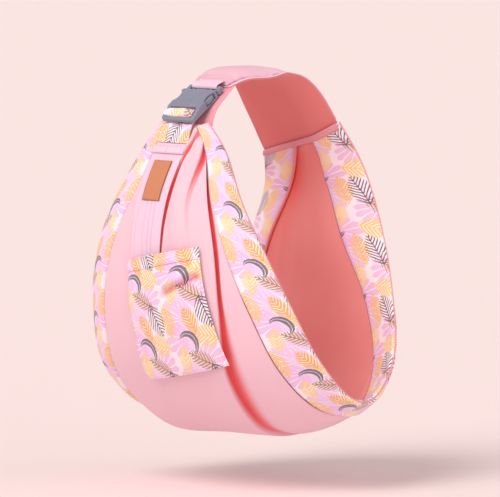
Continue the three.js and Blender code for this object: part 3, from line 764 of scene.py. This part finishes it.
def edge_band(name, side, seed, cloth_start):
    """One whole band, its outer and inner faces at plus and minus its half thickness."""
    station = np.linspace(0, BACK_END, BAND_ROWS)[:, None]
    share = (1 - np.cos(np.linspace(0, math.pi, BAND_COLUMNS))) / 2
    seam = band_seam(station, side) + SEAM_GAP
    across = seam + (1.003 - seam) * share
    end = smooth(np.minimum(station, BACK_END - station) / 0.1 + 0.12)
    thick = band_height(share, station, seed) * end + 0.15 * MM
    outer = pouch_point(station, side * across, thick)
    inner = pouch_point(station, side * across, -thick)
    along = length_along(station, side * 0.9)
    width = share * BAND_WIDTH / MM * (0.42 + 0.58 * smooth(station / 2)) + cloth_start
    top = np.stack(np.broadcast_arrays(width, along), -1)
    under = np.stack(np.broadcast_arrays(2 * (BAND_WIDTH / MM + cloth_start) - width, along), -1)
    return closed_piece(name, two_faced(outer, inner), two_faced(top, under))


near_band = wear(edge_band("near_band", -1, 1.0, -8), leaf_print, "printed_cotton", "carrier",
                 "near_band_front", "near_band_back", "near_wadding_front", "near_wadding_back")
far_band = wear(edge_band("far_band", 1, 2.6, -6), leaf_print, "printed_cotton", "carrier",
                "far_band_front", "far_band_back", "far_wadding_front", "far_wadding_back")

# %% [markdown]
# ## Turned edges
#
# A narrow rose-coloured edge shows all round the mouth, where the band's two cloths are turned in and topstitched,
# and a salmon one where the lining is turned up against the far band. Each is a thin round section carried along a
# line of the surface, because nothing more of it shows.


# %% Turned edges
def edge_roll(name, stations, across, height, radius):
    """A round section carried along a line of the pouch, flattened at its ends. The section lies in the plane
    between the surface's width and its normal."""
    rows = np.linspace(*stations, 420)[:, None]
    turn = np.linspace(0, 2 * math.pi, 10, endpoint=False)[None] + math.pi / 10
    place = across(rows)
    size = radius * smooth(np.minimum(rows - stations[0], stations[1] - rows) / 0.03 + 0.2)
    wide = np.cos(turn) * size / (half_width(rows) / MM)
    rings = pouch_point(rows, place + wide, (height + np.sin(turn) * size) * MM)
    cloth = np.stack(np.broadcast_arrays(turn * radius, length_along(rows, 0.9)), -1)
    return closed_piece(name, rings, cloth)


for name, side in [("near_mouth_edge", -1), ("far_mouth_edge", 1)]:
    roll = edge_roll(name, (0.02, 11.97), lambda u: side * (1.0 + 0 * u), 0, 1.5)
    wear(roll, rose_cotton, "pink_cotton", "carrier")
wear(edge_roll("far_lining_edge", (7.5, 11.95), lambda u: band_seam(u, 1) - 0.006, -5.2, 2.2), salmon_cotton,
     "salmon_lining", "carrier")

# %% [markdown]
# ## Stitches
#
# A lockstitch seam shows as short straight stitches with small gaps, each sunk at its ends. Each stitch here is a
# stretched eight-sided bead, 2.6 mm long and 0.5 mm thick, laid along a line on the cloth, because a seam is
# hundreds of them and each must stay light.

# %% Rows of stitches
STITCH_LENGTH, STITCH_STEP, STITCH_THICKNESS = 2.6 * MM, 3.5 * MM, 0.55 * MM


def stitches(name, lines, material, slot, body, up=None, step=STITCH_STEP):
    """One mesh of beads along each line of points. A bead has two tips and four points round its middle."""
    beads = []
    for line in lines:
        gaps = np.linalg.norm(np.diff(line, axis=0), axis=1)
        length = np.concatenate([[0], np.cumsum(gaps)])
        middles = np.arange(step / 2, length[-1], step)
        place = np.stack([np.interp(middles, length, line[:, k]) for k in range(3)], -1)
        ahead = np.stack([np.interp(middles + step / 3, length, line[:, k]) for k in range(3)], -1)
        way = ahead - place
        way /= np.linalg.norm(way, axis=1, keepdims=True) + 1e-12
        side = np.cross(way, up if up is not None else (0.3, 0.2, 1.0))
        side /= np.linalg.norm(side, axis=1, keepdims=True) + 1e-12
        rise = np.cross(side, way)
        reach = way * STITCH_LENGTH * (step / STITCH_STEP) / 2
        wide, tall = side * STITCH_THICKNESS / 2, rise * STITCH_THICKNESS / 2
        beads.append(np.stack([place - reach, place + reach, place + wide, place + tall, place - wide,
                               place - tall], 1))
    points = np.concatenate(beads)
    corner = np.array([[0, 3, 2], [0, 4, 3], [0, 5, 4], [0, 2, 5], [1, 2, 3], [1, 3, 4], [1, 4, 5], [1, 5, 2]])
    faces = (corner[None] + 6 * np.arange(len(points))[:, None, None]).reshape(-1, 3)
    mesh = bpy.data.meshes.new(name)
    mesh.from_pydata(points.reshape(-1, 3), [], faces.tolist())
    piece = bpy.data.objects.new(name, mesh)
    bpy.context.scene.collection.objects.link(piece)
    return wear(piece, material, slot, body)


def pouch_line(stations, across, height):
    """A line of points on the pouch."""
    return pouch_point(stations, across, np.broadcast_to(height, stations.shape))


def band_seam_stitches():
    """A row on each band beside its seam, outside and inside, and one along the mouth edge."""
    stations = np.linspace(0.15, BACK_END - 0.1, 900)
    lines = []
    for side in (-1, 1):
        seam = band_seam(stations, side)
        beside = seam + (1 - seam) * 0.05
        rim = seam + (1 - seam) * 0.93
        for face in (1, -1):
            lines.append(pouch_line(stations, side * beside, face * 3.4 * MM))
            lines.append(pouch_line(stations, side * rim, face * 4.9 * MM))
    return lines


stitches("band_stitches", band_seam_stitches(), grey_thread, "printed_cotton", "carrier")

# %% [markdown]
# ## Shoulder pad
#
# The pad is a bag of pink cotton round a sheet of foam, with a flat border sewn through all its layers. A formula
# could give its crown, but stretched cloth over foam has a fullness between its seams that is hard to write down.
# So the crown starts as a slightly flat pillow, is remeshed evenly, and is blown up by a cloth simulation. What
# that moves is capped at a few millimetres and kept off the underside, which rests on the shoulder. The border and
# the salmon underside are thin enough to be surfaces.

# %% Pad surface
# Middle x, half width and z at each station, from the buckle's end to the back seam.
PAD_STATIONS = MM * np.array([[-80, 38, -12], [-58, 48, -2], [-34, 55, 0.6], [-10, 59, 1], [10, 60, 0.8],
                              [31, 63, -11], [54, 66, -36], [81, 69, -66], [104, 71, -96]])
PAD_END = 8
PAD_TAIL = 27 * MM
PAD_END_WAY = np.array([0.61, 0, -0.79])
PAD_RIM = 0.9
FOAM_RISE = 9.6 * MM


def pad_point(station, across, height):
    """A point above the pad's underside, along the normal of its middle line, which is level on the shoulder.
    Past its last station the pad runs straight on into the seam."""
    station, across, height = np.broadcast_arrays(*(np.asarray(v, float) for v in (station, across, height)))
    x, half, z = np.moveaxis(curve_through(PAD_STATIONS, station), -1, 0)
    ahead = curve_through(PAD_STATIONS, np.minimum(station + 0.02, PAD_END))
    behind = curve_through(PAD_STATIONS, np.maximum(station - 0.02, 0))
    sinking = (ahead - behind)[..., 2] * smooth(-z / (2 * MM))
    slope = np.arctan2(sinking, (ahead - behind)[..., 0])
    skew = -SEAM_SKEW * across * smooth((station - 4.5) / 3.5)
    beyond = np.maximum(station - PAD_END, 0) * PAD_TAIL
    points = np.stack([x - np.sin(slope) * height, half * across,
                       np.minimum(z, 0) + np.cos(slope) * height + skew], -1)
    lift = near_lift(across, smooth((station - 2.4) / 3.4), np.exp(-(((station - 6) / 1.2) ** 2)))
    return points + beyond[..., None] * PAD_END_WAY + lift


def foam_height(station, across):
    """How far the foam lifts the cover: highest in the middle, nothing at the rim, thinner at both ends."""
    ends = 0.62 + 0.38 * smooth(np.minimum(station, PAD_END - station) / 1.8)
    return FOAM_RISE * ends * np.maximum(1 - (across / PAD_RIM) ** 4, 0)


def pad_layer(name, low, high, rows=120, columns=41):
    """A layer of the pad between two heights, each a function of station and place across."""
    station = np.linspace(0, PAD_END + 0.24, rows)[:, None]
    across = np.sin(np.linspace(-math.pi / 2, math.pi / 2, columns))[None]
    over, under = (pad_point(station, across, f(station, across)) for f in (high, low))
    width = across * curve_through(PAD_STATIONS[:, 1], station) / MM
    cloth = np.stack(np.broadcast_arrays(width, station * 28), -1)
    return closed_piece(name, two_faced(over, under), two_faced(cloth, cloth))


# %% Pad lining and border
def hem_edge(across):
    """0.25 at the very edge of a layer and 1 from 2 mm in, so that the turned edge is round."""
    return 0.25 + 0.75 * np.sqrt(1 - (1 - np.clip((1 - np.abs(across)) / 0.03, 0, 1)) ** 2)


pad_lining = wear(pad_layer("pad_lining", lambda u, v: 0.9 * MM - 0.9 * MM * hem_edge(v) * smooth(u + 0.5),
                            lambda u, v: 0.9 * MM + 0.9 * MM * hem_edge(v) + 0 * u),
                  salmon_pad_cotton, "salmon_lining", "carrier", "pad_lining")


def border_top(station, across):
    """Proud at the sewn border, and thin under the foam."""
    return (2.5 + 1.3 * smooth((np.abs(across) - 0.85) / 0.05) * hem_edge(across)) * MM + 0 * station


pad_border = wear(pad_layer("pad_border", lambda u, v: (2.0 + 0 * u + 0 * v) * MM, border_top),
                  strap_cotton, "pink_cotton", "carrier")


# %% Swelling by simulation
def swell(piece, voxel, cap, pressure, fixed):
    """Remeshes a piece evenly and blows it up as cloth for 20 frames, then moves each point at most cap along
    the way it went. fixed gives, from points and normals, the share of the movement that is kept."""
    scene = bpy.context.scene
    remesh = piece.modifiers.new("even_mesh", "REMESH")
    remesh.mode, remesh.voxel_size = "VOXEL", voxel
    piece.data = bpy.data.meshes.new_from_object(piece.evaluated_get(bpy.context.evaluated_depsgraph_get()))
    piece.modifiers.clear()
    start = np.empty(len(piece.data.vertices) * 3)
    normal = np.empty_like(start)
    piece.data.vertices.foreach_get("co", start)
    piece.data.vertex_normals.foreach_get("vector", normal)
    cloth = piece.modifiers.new("cloth", "CLOTH")
    cloth.settings.use_pressure, cloth.settings.uniform_pressure_force = True, pressure
    cloth.settings.effector_weights.gravity = 0
    cloth.settings.quality = 6
    cloth.point_cache.frame_start, cloth.point_cache.frame_end = 1, 20
    for step in range(1, 21):
        scene.frame_set(step)
    blown = piece.evaluated_get(bpy.context.evaluated_depsgraph_get()).to_mesh()
    end = np.empty_like(start)
    blown.vertices.foreach_get("co", end)
    piece.modifiers.clear()
    scene.frame_set(1)
    start, normal, end = (v.reshape(-1, 3) for v in (start, normal, end))
    move = end - start
    length = np.linalg.norm(move, axis=1, keepdims=True) + 1e-9
    move *= np.minimum(length, cap) / length * fixed(start, normal)[:, None]
    piece.data.vertices.foreach_set("co", (start + move).ravel())
    piece.data.update()
    print(piece.name, "swelled by up to", round(float(np.abs(move).max() / MM), 1), "mm")


def finer(piece):
    """One level of subdivision, and smooth shading."""
    smoother = piece.modifiers.new("smooth_surface", "SUBSURF")
    smoother.levels = smoother.render_levels = 1
    piece.data.polygons.foreach_set("use_smooth", np.ones(len(piece.data.polygons), bool))


# %% Pad crown
PAD_ARCH_MIDDLE = np.array([20, 0, -110]) * MM


CROWN_LOW, CROWN_RIM, CROWN_SHARE = 2.4 * MM, 5.0 * MM, 1.2


def crown():
    """The foam and its cover as one pillow: flat below, and above it the foam's height less the cover's share,
    a fifth fuller, with small tucks along the rim."""
    station = np.linspace(0.05, PAD_END - 0.06, 130)[:, None]
    turn = np.linspace(-math.pi / 2, math.pi / 2, 49)[None]
    across = 0.915 * np.sin(turn)
    rise = (foam_height(station, across * 0.96) - 1.2 * MM) * np.sqrt(np.clip(np.cos(turn), 0, 1)) + 0.4 * MM
    tucks = 0.25 * MM * np.sin(station * 41) * np.exp(-(1 - np.abs(np.sin(turn))) / 0.1)
    over = pad_point(station, across, CROWN_RIM + np.maximum(CROWN_SHARE * rise, 0.8 * MM) + tucks)
    under = pad_point(station, across, CROWN_LOW)
    cloth = np.zeros((*over.shape[:2], 2))
    return closed_piece("shoulder_pad", two_faced(over, under), two_faced(cloth, cloth))


def above_shoulder(points, normals):
    """1 where the surface faces away from the middle of the pad's arch, 0 where it faces towards it."""
    out = points - PAD_ARCH_MIDDLE
    out[:, 1] = 0
    out /= np.linalg.norm(out, axis=1, keepdims=True)
    return smooth((out * normals).sum(1) * 1.4)


shoulder_pad = crown()
swell(shoulder_pad, 4 * MM, 2.2 * MM, 4, above_shoulder)
finer(shoulder_pad)
wear(shoulder_pad, pink_cotton_unmapped, "pink_cotton", "carrier", "pad_cover", "pad_foam")


# %% Pad stitches
def pad_stitches():
    """A row near each long edge, outside and inside, and five rows across the buckle's end."""
    station = np.linspace(0.1, PAD_END - 0.25, 400)
    rows = [pad_point(station, side * 0.962, height * MM) for side in (-1, 1) for height in (3.85, -0.05)]
    width = np.linspace(-0.93, 0.93, 60)
    rows += [pad_point(np.full_like(width, u), width, foam_height(u, width) * 1.1 + 6.2 * MM)
             for u in (0.14, 0.26, 0.38, 0.5, 0.62)]
    return rows


stitches("pad_stitches", pad_stitches(), rose_thread, "pink_cotton", "carrier")

# %% [markdown]
# ## Buckle
#
# A side-release buckle for 50 mm webbing has a flat male half, whose two arms spring outwards into windows in the
# female half's sides, and a ladder at the other end that grips the strap. The CAD gives all of that with sharp
# edges. Moulded plastic has none: its mould is cut with a round tool, so each copy here is merged, cleaned of the
# lines inside its flat faces, and given a small rounded edge, which is what catches the light.


# %% Buckle halves
def rounded_copy(name, node, radius):
    """A CAD piece with its edges rounded over that radius, in three steps."""
    mesh = nodes[node].data.copy()
    mesh.materials.clear()
    work = bmesh.new()
    work.from_mesh(mesh)
    bmesh.ops.remove_doubles(work, verts=work.verts, dist=0.02 * MM)
    bmesh.ops.dissolve_limit(work, angle_limit=math.radians(1.5), verts=work.verts, edges=work.edges)
    work.to_mesh(mesh)
    work.free()
    mesh.polygons.foreach_set("use_smooth", np.ones(len(mesh.polygons), bool))
    piece = bpy.data.objects.new(name, mesh)
    bpy.context.scene.collection.objects.link(piece)
    bevel = piece.modifiers.new("rounded_edges", "BEVEL")
    bevel.width, bevel.segments, bevel.limit_method = radius, 3, "ANGLE"
    bevel.angle_limit, bevel.harden_normals = math.radians(22), True
    return piece


for node, body, radius in [("male_buckle", "carrier", 0.8), ("female_buckle", "female_half", 1.0),
                           ("near_release_arm", "near_arm", 0.6), ("far_release_arm", "far_arm", 0.6)]:
    wear(rounded_copy(node + "_moulding", node, radius * MM), slate_acetal, "slate_plastic", body, node)

# %% [markdown]
# ## Webbing and straps
#
# Flat straps are modelled directly: the strap's side view is a path, its thickness is laid off on both sides of
# it, and the outline is carried across the strap's width, thinning at the turned edges. The same few lines make
# the webbing over the male bar, the pad's tongue under the buckle, the rolled turn round the ladder's inner bar
# and the printed strap below it.


# %% Ribbons
BUCKLE_ORIGIN = np.array([-92, -2, -11]) * MM
BUCKLE_ALONG = np.array([-0.80902, 0, -0.58779])
BUCKLE_ABOVE = np.array([-0.58779, 0, 0.80902])


def buckle_point(x, y, z):
    """A point from the buckle's own lengths in millimetres: along it, across it and above it."""
    x, y, z = (np.asarray(v, float)[..., None] * MM for v in (x, y, z))
    return BUCKLE_ORIGIN + x * BUCKLE_ALONG - y * np.array([0, 1, 0]) + z * BUCKLE_ABOVE


def world_point(x, y, z):
    """The same for a path that is already in the frame's own x and z."""
    return np.stack(np.broadcast_arrays(x, y, z), -1) * MM


def arc(centre, radii, start, end, count):
    """Points on an ellipse between two angles in degrees."""
    angle = np.radians(np.linspace(start, end, count))
    return np.stack([centre[0] + radii[0] * np.cos(angle), centre[1] + radii[1] * np.sin(angle)], -1)


def ribbon(name, path, thickness, widths, place=buckle_point, bulge=0.0, crease=0.0, rows=33, cloth_start=(0, 0)):
    """A strap from its side view: the path, plus and minus half the thickness along its normal, carried across
    the width. widths are the half widths at the path's two ends. bulge lifts the middle, and crease waves it."""
    at = np.linspace(0, len(path) - 1, 7 * len(path))
    line = curve_through(path, at)
    way = np.gradient(line, axis=0)
    way /= np.linalg.norm(way, axis=1, keepdims=True)
    normal = np.stack([-way[:, 1], way[:, 0]], -1)
    side = np.sin(np.linspace(-math.pi / 2, math.pi / 2, rows))[:, None]
    edge = 0.3 + 0.7 * np.sqrt(1 - side**6)
    half = widths[0] + (widths[1] - widths[0]) * np.linspace(0, 1, len(line))
    lift = bulge * (1 - side**2) + crease * np.sin(side * 7.3 + at * 0.9) * np.sin(at * 0.7 + 0.4)
    faces = [lift + face * thickness / 2 * edge for face in (1, -1)]
    x, z = line[:, 0], line[:, 1]
    top, under = (place(x + normal[:, 0] * h, side * half, z + normal[:, 1] * h) for h in faces)
    length = np.concatenate([[0], np.cumsum(np.linalg.norm(np.diff(line, axis=0), axis=1))])
    cloth = np.stack(np.broadcast_arrays(cloth_start[0] + side * half, cloth_start[1] + length), -1)
    return closed_piece(name, two_faced(top, under), two_faced(cloth, cloth))


# %% Webbing, tongue, roll and strap
WEBBING_PATH = np.vstack([[[-22, -0.6], [-15, 1.2], [-8, 3.7], [0, 5.6]], arc((1.6, 0.3), (3.9, 5.2), 75, -80, 7),
                          [[-2, -5], [-6, -4.6]]])
wear(ribbon("male_webbing", WEBBING_PATH, 1.6, (25.5, 25.5)), strap_cotton, "pink_webbing", "carrier",
     "male_webbing")

TONGUE_PATH = np.array([[-16, -8.6], [-7, -8.8], [4, -8.6], [18, -8.6], [32, -9.6], [43, -12.4], [54, -17],
                        [62, -22]])
# The tongue is pink cloth; the darker rose it is given is painted shade, for the buckle's shadow over it.
tongue = wear(ribbon("buckle_tongue", TONGUE_PATH, 3.0, (40, 47), crease=0.5), rose_cotton, "pink_cotton",
              "carrier", "buckle_underlay")

ROLL_PATH = arc((64.5, 0.9), (6.0, 5.0), 250, -70, 15)


def over_rail(x, y, z):
    """A point of the roll, which on its far side is wider and climbs over the ladder's rail."""
    climb = smooth((-y - 17) / 7)
    return buckle_point(x, y - 7.5 * smooth((-y - 8) / 16), z + climb * (6.6 - 0.65 * (z + 5)) * (z > -20))


wear(ribbon("strap_roll", ROLL_PATH, 3.0, (25.3, 25.3), place=over_rail, bulge=1.4, crease=0.35,
            cloth_start=(16, 62)),
     leaf_print, "printed_cotton", "female_half", "strap_roll")

STRAP_PATH = np.array([[-143.5, -59.0], [-150, -63.5], [-155.5, -71], [-159.5, -80], [-163.5, -91]])
strap = wear(ribbon("printed_strap", STRAP_PATH, 2.2, (27.5, 32), place=world_point, crease=0.5,
                    cloth_start=(62, -4)),
             leaf_print, "printed_cotton", None, "printed_strap")
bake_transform(strap)

# %% [markdown]
# ## Strip, hem and label
#
# The strap ends in a pleated strip that is sewn down the pouch's front. Its pleats are tucks: each rises slowly
# from its left and drops off in a step, and the steps are what the eye sees as lines. A hem with two rows of
# stitches crosses its top, and the label, a blank piece of leather, is sewn on below that.

# %% Strap pieces on the pouch
PLEATS_MM = np.array([-13.0, -5.0, 5.0, 21.0])


def strap_side(station, y):
    """The share across that lies y millimetres from the middle."""
    return y * MM / (half_width(station) * reach_at(station, y))


def strap_patch(name, stations, half, low, high, rows=60, columns=65, numbers=None, cloth_start=(0, 0)):
    """A piece between two heights, functions of station and y, over a stretch of stations and a half width."""
    station = np.linspace(*stations, rows)[:, None]
    y = half * np.sin(np.linspace(-math.pi / 2, math.pi / 2, columns))[None]
    over, under = (pouch_point(station, strap_side(station, y), f(station, y) * MM) for f in (high, low))
    length = length_along(station, 0.0)
    cloth = np.stack(np.broadcast_arrays(y + cloth_start[0], length - length[0] + cloth_start[1]), -1)
    values = {key: two_faced(f(station, y), f(station, y)) for key, f in (numbers or {}).items()}
    return closed_piece(name, two_faced(over, under), two_faced(cloth, cloth), values)


STATION_MM = 75


def edge_round(station, y, stations, half, radius):
    """0 at a patch's edges and 1 a radius in, as a quarter circle, with a station taken as 75 mm."""
    from_side = np.clip((half - np.abs(y)) / radius, 0, 1)
    from_end = np.clip(np.minimum(station - stations[0], stations[1] - station) * STATION_MM / radius, 0, 1)
    return np.sqrt(1 - (1 - from_side) ** 2) * np.sqrt(1 - (1 - from_end) ** 2)


def from_pleats(station, y):
    """Millimetres past each pleat's line. The lines spread downwards."""
    spread = 0.6 + 0.4 * smooth((station - 0.9) / 1.7)
    return [y - line * spread for line in PLEATS_MM]


def pleat_height(station, y):
    """Each pleat rises 1.7 mm over 7 mm and drops within 0.7 mm. They open from under the label."""
    height = sum(1.7 * np.exp(np.minimum(off, 0) / 4) * smooth(0.5 - off / 0.7) for off in from_pleats(station, y))
    return height * smooth((station - 1.0) / 0.5)


def pleat_shade(station, y):
    """Painted shade: the deep colour, in a line 1 mm wide just past each pleat's step."""
    shade = sum(np.exp(-(((off - 0.8) / 0.8) ** 2)) for off in from_pleats(station, y))
    return 0.75 * np.clip(shade, 0, 1) * smooth((station - 1.0) / 0.5)


STRIP_STATIONS, STRIP_HALF = (0.7, 3.6), 29.5
strip = wear(strap_patch("pleated_strip", STRIP_STATIONS, STRIP_HALF, lambda u, y: 3.4 + 0 * u * y,
                         lambda u, y: 4.3 + (pleat_height(u, y) + 0.5) * edge_round(u, y, STRIP_STATIONS,
                                                                                     STRIP_HALF, 1.5),
                         rows=160, columns=181, numbers={"painted_fold_shade": pleat_shade}),
             strap_cotton, "pink_cotton", "carrier", "pleated_strip")

HEM_STATIONS, HEM_HALF = (0.80, 1.02), 31.0
wear(strap_patch("strap_cross_hem", HEM_STATIONS, HEM_HALF, lambda u, y: 6.3 + 0 * u * y,
                 lambda u, y: 6.7 + 1.2 * edge_round(u, y, HEM_STATIONS, HEM_HALF, 1.2)
                 - 0.5 * np.exp(-(y - 2) ** 2 / 0.8) + 0.15 * np.sin(y * 1.1)),
     strap_cotton, "pink_webbing", "carrier", "strap_cross_hem")

LABEL_STATIONS, LABEL_HALF = (1.2, 2.06), 17.5
wear(strap_patch("leather_label", LABEL_STATIONS, LABEL_HALF, lambda u, y: 6.3 + 0 * u * y,
                 lambda u, y: 6.8 + 1.4 * edge_round(u, y, LABEL_STATIONS, LABEL_HALF, 1.2)
                 + 0.4 * np.sin(u * 2.5) * (y / LABEL_HALF),
                 numbers={"edge_dark": lambda u, y: 1 - edge_round(u, y, LABEL_STATIONS, LABEL_HALF, 0.9)}),
     tan_leather, "tan_leather", "carrier", "leather_label")


# %% Stitches on the strip
def strap_line(stations, y, height):
    """A line on the front at y millimetres from the middle."""
    stations, y = np.broadcast_arrays(np.asarray(stations, float), np.asarray(y, float))
    return pouch_point(stations, strap_side(stations, y), np.full(stations.shape, height * MM))


def label_outline():
    """The row of stitches round the label, 2 mm inside its edge."""
    top, foot, side = LABEL_STATIONS[0] + 0.03, LABEL_STATIONS[1] - 0.03, LABEL_HALF - 2
    down, over = np.linspace(top, foot, 60), np.linspace(-side, side, 40)
    return [strap_line(down, -side, 8.15), strap_line(down, side, 8.15), strap_line(top, over, 8.2),
            strap_line(foot, over, 8.2)]


across_hem = np.linspace(-HEM_HALF + 2, HEM_HALF - 2, 50)
stitches("hem_stitches", [strap_line(0.825, across_hem, 8.0), strap_line(0.995, across_hem, 8.0),
                          strap_line(np.linspace(0.83, 0.99, 20), 2.0, 7.7)], grey_thread, "pink_webbing", "carrier")
stitches("label_stitches", label_outline(), brown_thread, "tan_leather", "carrier", step=2.4 * MM)

# %% [markdown]
# ## Pocket
#
# The pocket is a patch of printed cotton sewn down on three sides, wider at its foot. Its mouth stands away from
# the pouch, and below it one shallow drape hangs between the mouth's two corners. Its turned hem is a second
# strip with its own rows of stitches. Its cloth is cut across the repeat, so its print is turned.

# %% Pocket shape
POCKET_TOP, POCKET_BOTTOM, POCKET_TILT = 3.22, 5.08, 0.3
POCKET_NEAR, POCKET_FAR = (97, 122), (30, 46)
POCKET_HEM = 0.2


def pocket_place(station, share):
    """Station and place across: the sides lean outwards downwards, and the near side is higher."""
    down = (station - POCKET_TOP) / (POCKET_BOTTOM - POCKET_TOP)
    near = -(POCKET_NEAR[0] + (POCKET_NEAR[1] - POCKET_NEAR[0]) * down)
    far = POCKET_FAR[0] + (POCKET_FAR[1] - POCKET_FAR[0]) * down
    return station + POCKET_TILT * (share - 1), near + (far - near) * share


def from_drape(station, share):
    """How far down a point lies past the drape's line, and the drape's strength there. The line starts at the near
    side, a little under the hem, and falls to the middle, where it dies out."""
    down = (station - POCKET_TOP) / (POCKET_BOTTOM - POCKET_TOP)
    return down - 0.19 - 0.22 * share, smooth(share / 0.06) * (1 - smooth((share - 0.4) / 0.14))


def pocket_rise(station, share):
    """Height off the pouch: the open mouth, one drape across under it, and slight hollows."""
    down = (station - POCKET_TOP) / (POCKET_BOTTOM - POCKET_TOP)
    opening = 10 * np.maximum(1 - down, 0) ** 1.4 * np.sin(math.pi * share)
    past, strength = from_drape(station, share)
    drape = 3.2 * np.exp(-((past / 0.04) ** 2)) - 3.6 * np.exp(-(((past - 0.07) / 0.05) ** 2))
    hollow = 0.9 * np.sin(share * 7 + 2 * down) * np.sin(down * 5.1)
    edge = smooth(share / 0.06) * smooth((1 - share) / 0.06) * smooth((1 - down) / 0.08)
    return 8.2 + opening + drape * strength + hollow * edge


def drape_shade(station, share):
    """Painted shade: the deep colour in the drape's hollow, where the cloth's own light is reflected back and forth.
    """
    past, strength = from_drape(station, share)
    return 0.6 * strength * np.exp(-(((past - 0.06) / 0.03) ** 2))


def pocket_part(name, stations, low, thickness, rows, columns):
    """A patch of the pocket between two stations, low millimetres above its rise, with a rounded edge."""
    station = np.linspace(*stations, rows)[:, None]
    share = (1 - np.cos(np.linspace(0, math.pi, columns)))[None] / 2
    edge = np.clip(np.minimum(share, 1 - share) / 0.012, 0, 1)
    thick = thickness * (0.3 + 0.7 * np.sqrt(1 - (1 - edge) ** 2))
    at, y = pocket_place(station, share)
    rise = pocket_rise(station, share) + low
    under, over = (pouch_point(at, strap_side(at, y), (rise + h) * MM) for h in (0 * thick, thick))
    down = (station - POCKET_TOP) * 92
    cloth = np.stack(np.broadcast_arrays(46 - y, down + 20), -1)
    shade = drape_shade(station, share)
    numbers = {"painted_fold_shade": two_faced(shade, shade)}
    return closed_piece(name, two_faced(over, under), two_faced(cloth, cloth), numbers)


# %% Pocket and its hem
pocket = wear(pocket_part("pocket_panel", (POCKET_TOP + 0.012, POCKET_BOTTOM), 0, 1.5, 140, 120),
              leaf_print, "printed_cotton", "carrier", "pocket_panel")
wear(pocket_part("pocket_hem", (POCKET_TOP, POCKET_TOP + POCKET_HEM), 1.55, 1.2, 24, 120),
     leaf_print, "printed_cotton", "carrier", "pocket_hem")


def pocket_line(stations, shares, height):
    """A line on the pocket's outer face."""
    stations, shares = np.broadcast_arrays(np.asarray(stations, float), np.asarray(shares, float))
    at, y = pocket_place(stations, shares)
    return pouch_point(at, strap_side(at, y), (pocket_rise(stations, shares) + height) * MM)


side_rows = np.linspace(POCKET_TOP + 0.03, POCKET_BOTTOM - 0.03, 120)
mouth_rows = np.linspace(0.01, 0.99, 120)
stitches("pocket_stitches", [pocket_line(side_rows, 0.02, 1.5), pocket_line(side_rows, 0.98, 1.5),
                             pocket_line(POCKET_BOTTOM - 0.03, mouth_rows, 1.5),
                             pocket_line(POCKET_TOP + 0.025, mouth_rows, 2.8),
                             pocket_line(POCKET_TOP + POCKET_HEM - 0.025, mouth_rows, 2.8)],
         grey_thread, "printed_cotton", "carrier")

# %% [markdown]
# ## Back seam
#
# At the back the pouch, its lining and both bands end in one seam, which the pad covers from above. A folded tape
# of pink cotton closes it on the outside, and two rows of thread hold it.


# %% Tape
def seam_tape():
    """A flat strip over the last quarter station, rounded along both long edges."""
    station = np.linspace(BACK_END - 0.24, BACK_END - 0.02, 15)[:, None]
    across = 0.95 * np.sin(np.linspace(-math.pi / 2, math.pi / 2, 121))[None]
    from_edge = np.minimum(station - BACK_END + 0.24, BACK_END - 0.02 - station) / 0.05
    thick = 1.6 * (0.35 + 0.65 * np.sqrt(1 - (1 - np.clip(from_edge, 0, 1)) ** 2)) + 0 * across
    low = 7.9 + 0.25 * np.sin(across * 40)
    under, over = pouch_point(station, across, low * MM), pouch_point(station, across, (low + thick) * MM)
    return closed_piece("back_seam_tape", two_faced(over, under), two_faced(*2 * (pouch_cloth(station, across),)))


wear(seam_tape(), strap_cotton, "pink_cotton", "carrier", "back_seam_tape")


def seam_facing():
    """The turned edge inside the seam: a narrow strip across the bands and the lining."""
    station = np.linspace(BACK_END - 0.13, BACK_END, 9)[:, None]
    across = 0.985 * np.sin(np.linspace(-math.pi / 2, math.pi / 2, 121))[None]
    thick = 1.4 * np.sqrt(1 - ((station - BACK_END + 0.065) / 0.0651) ** 2) + 0.1 + 0 * across
    upper, lower = (pouch_point(station, across, (-5.4 - h) * MM) for h in (0 * thick, thick))
    return closed_piece("back_seam_facing", two_faced(upper, lower), two_faced(*2 * (pouch_cloth(station, across),)))


wear(seam_facing(), rose_cotton, "pink_cotton", "carrier")
tape_line = np.linspace(-0.93, 0.93, 200)
stitches("back_seam_stitches", [pouch_line(np.full(200, BACK_END - u), tape_line, 9.4 * MM) for u in (0.06, 0.19)],
         rose_thread, "pink_cotton", "carrier")
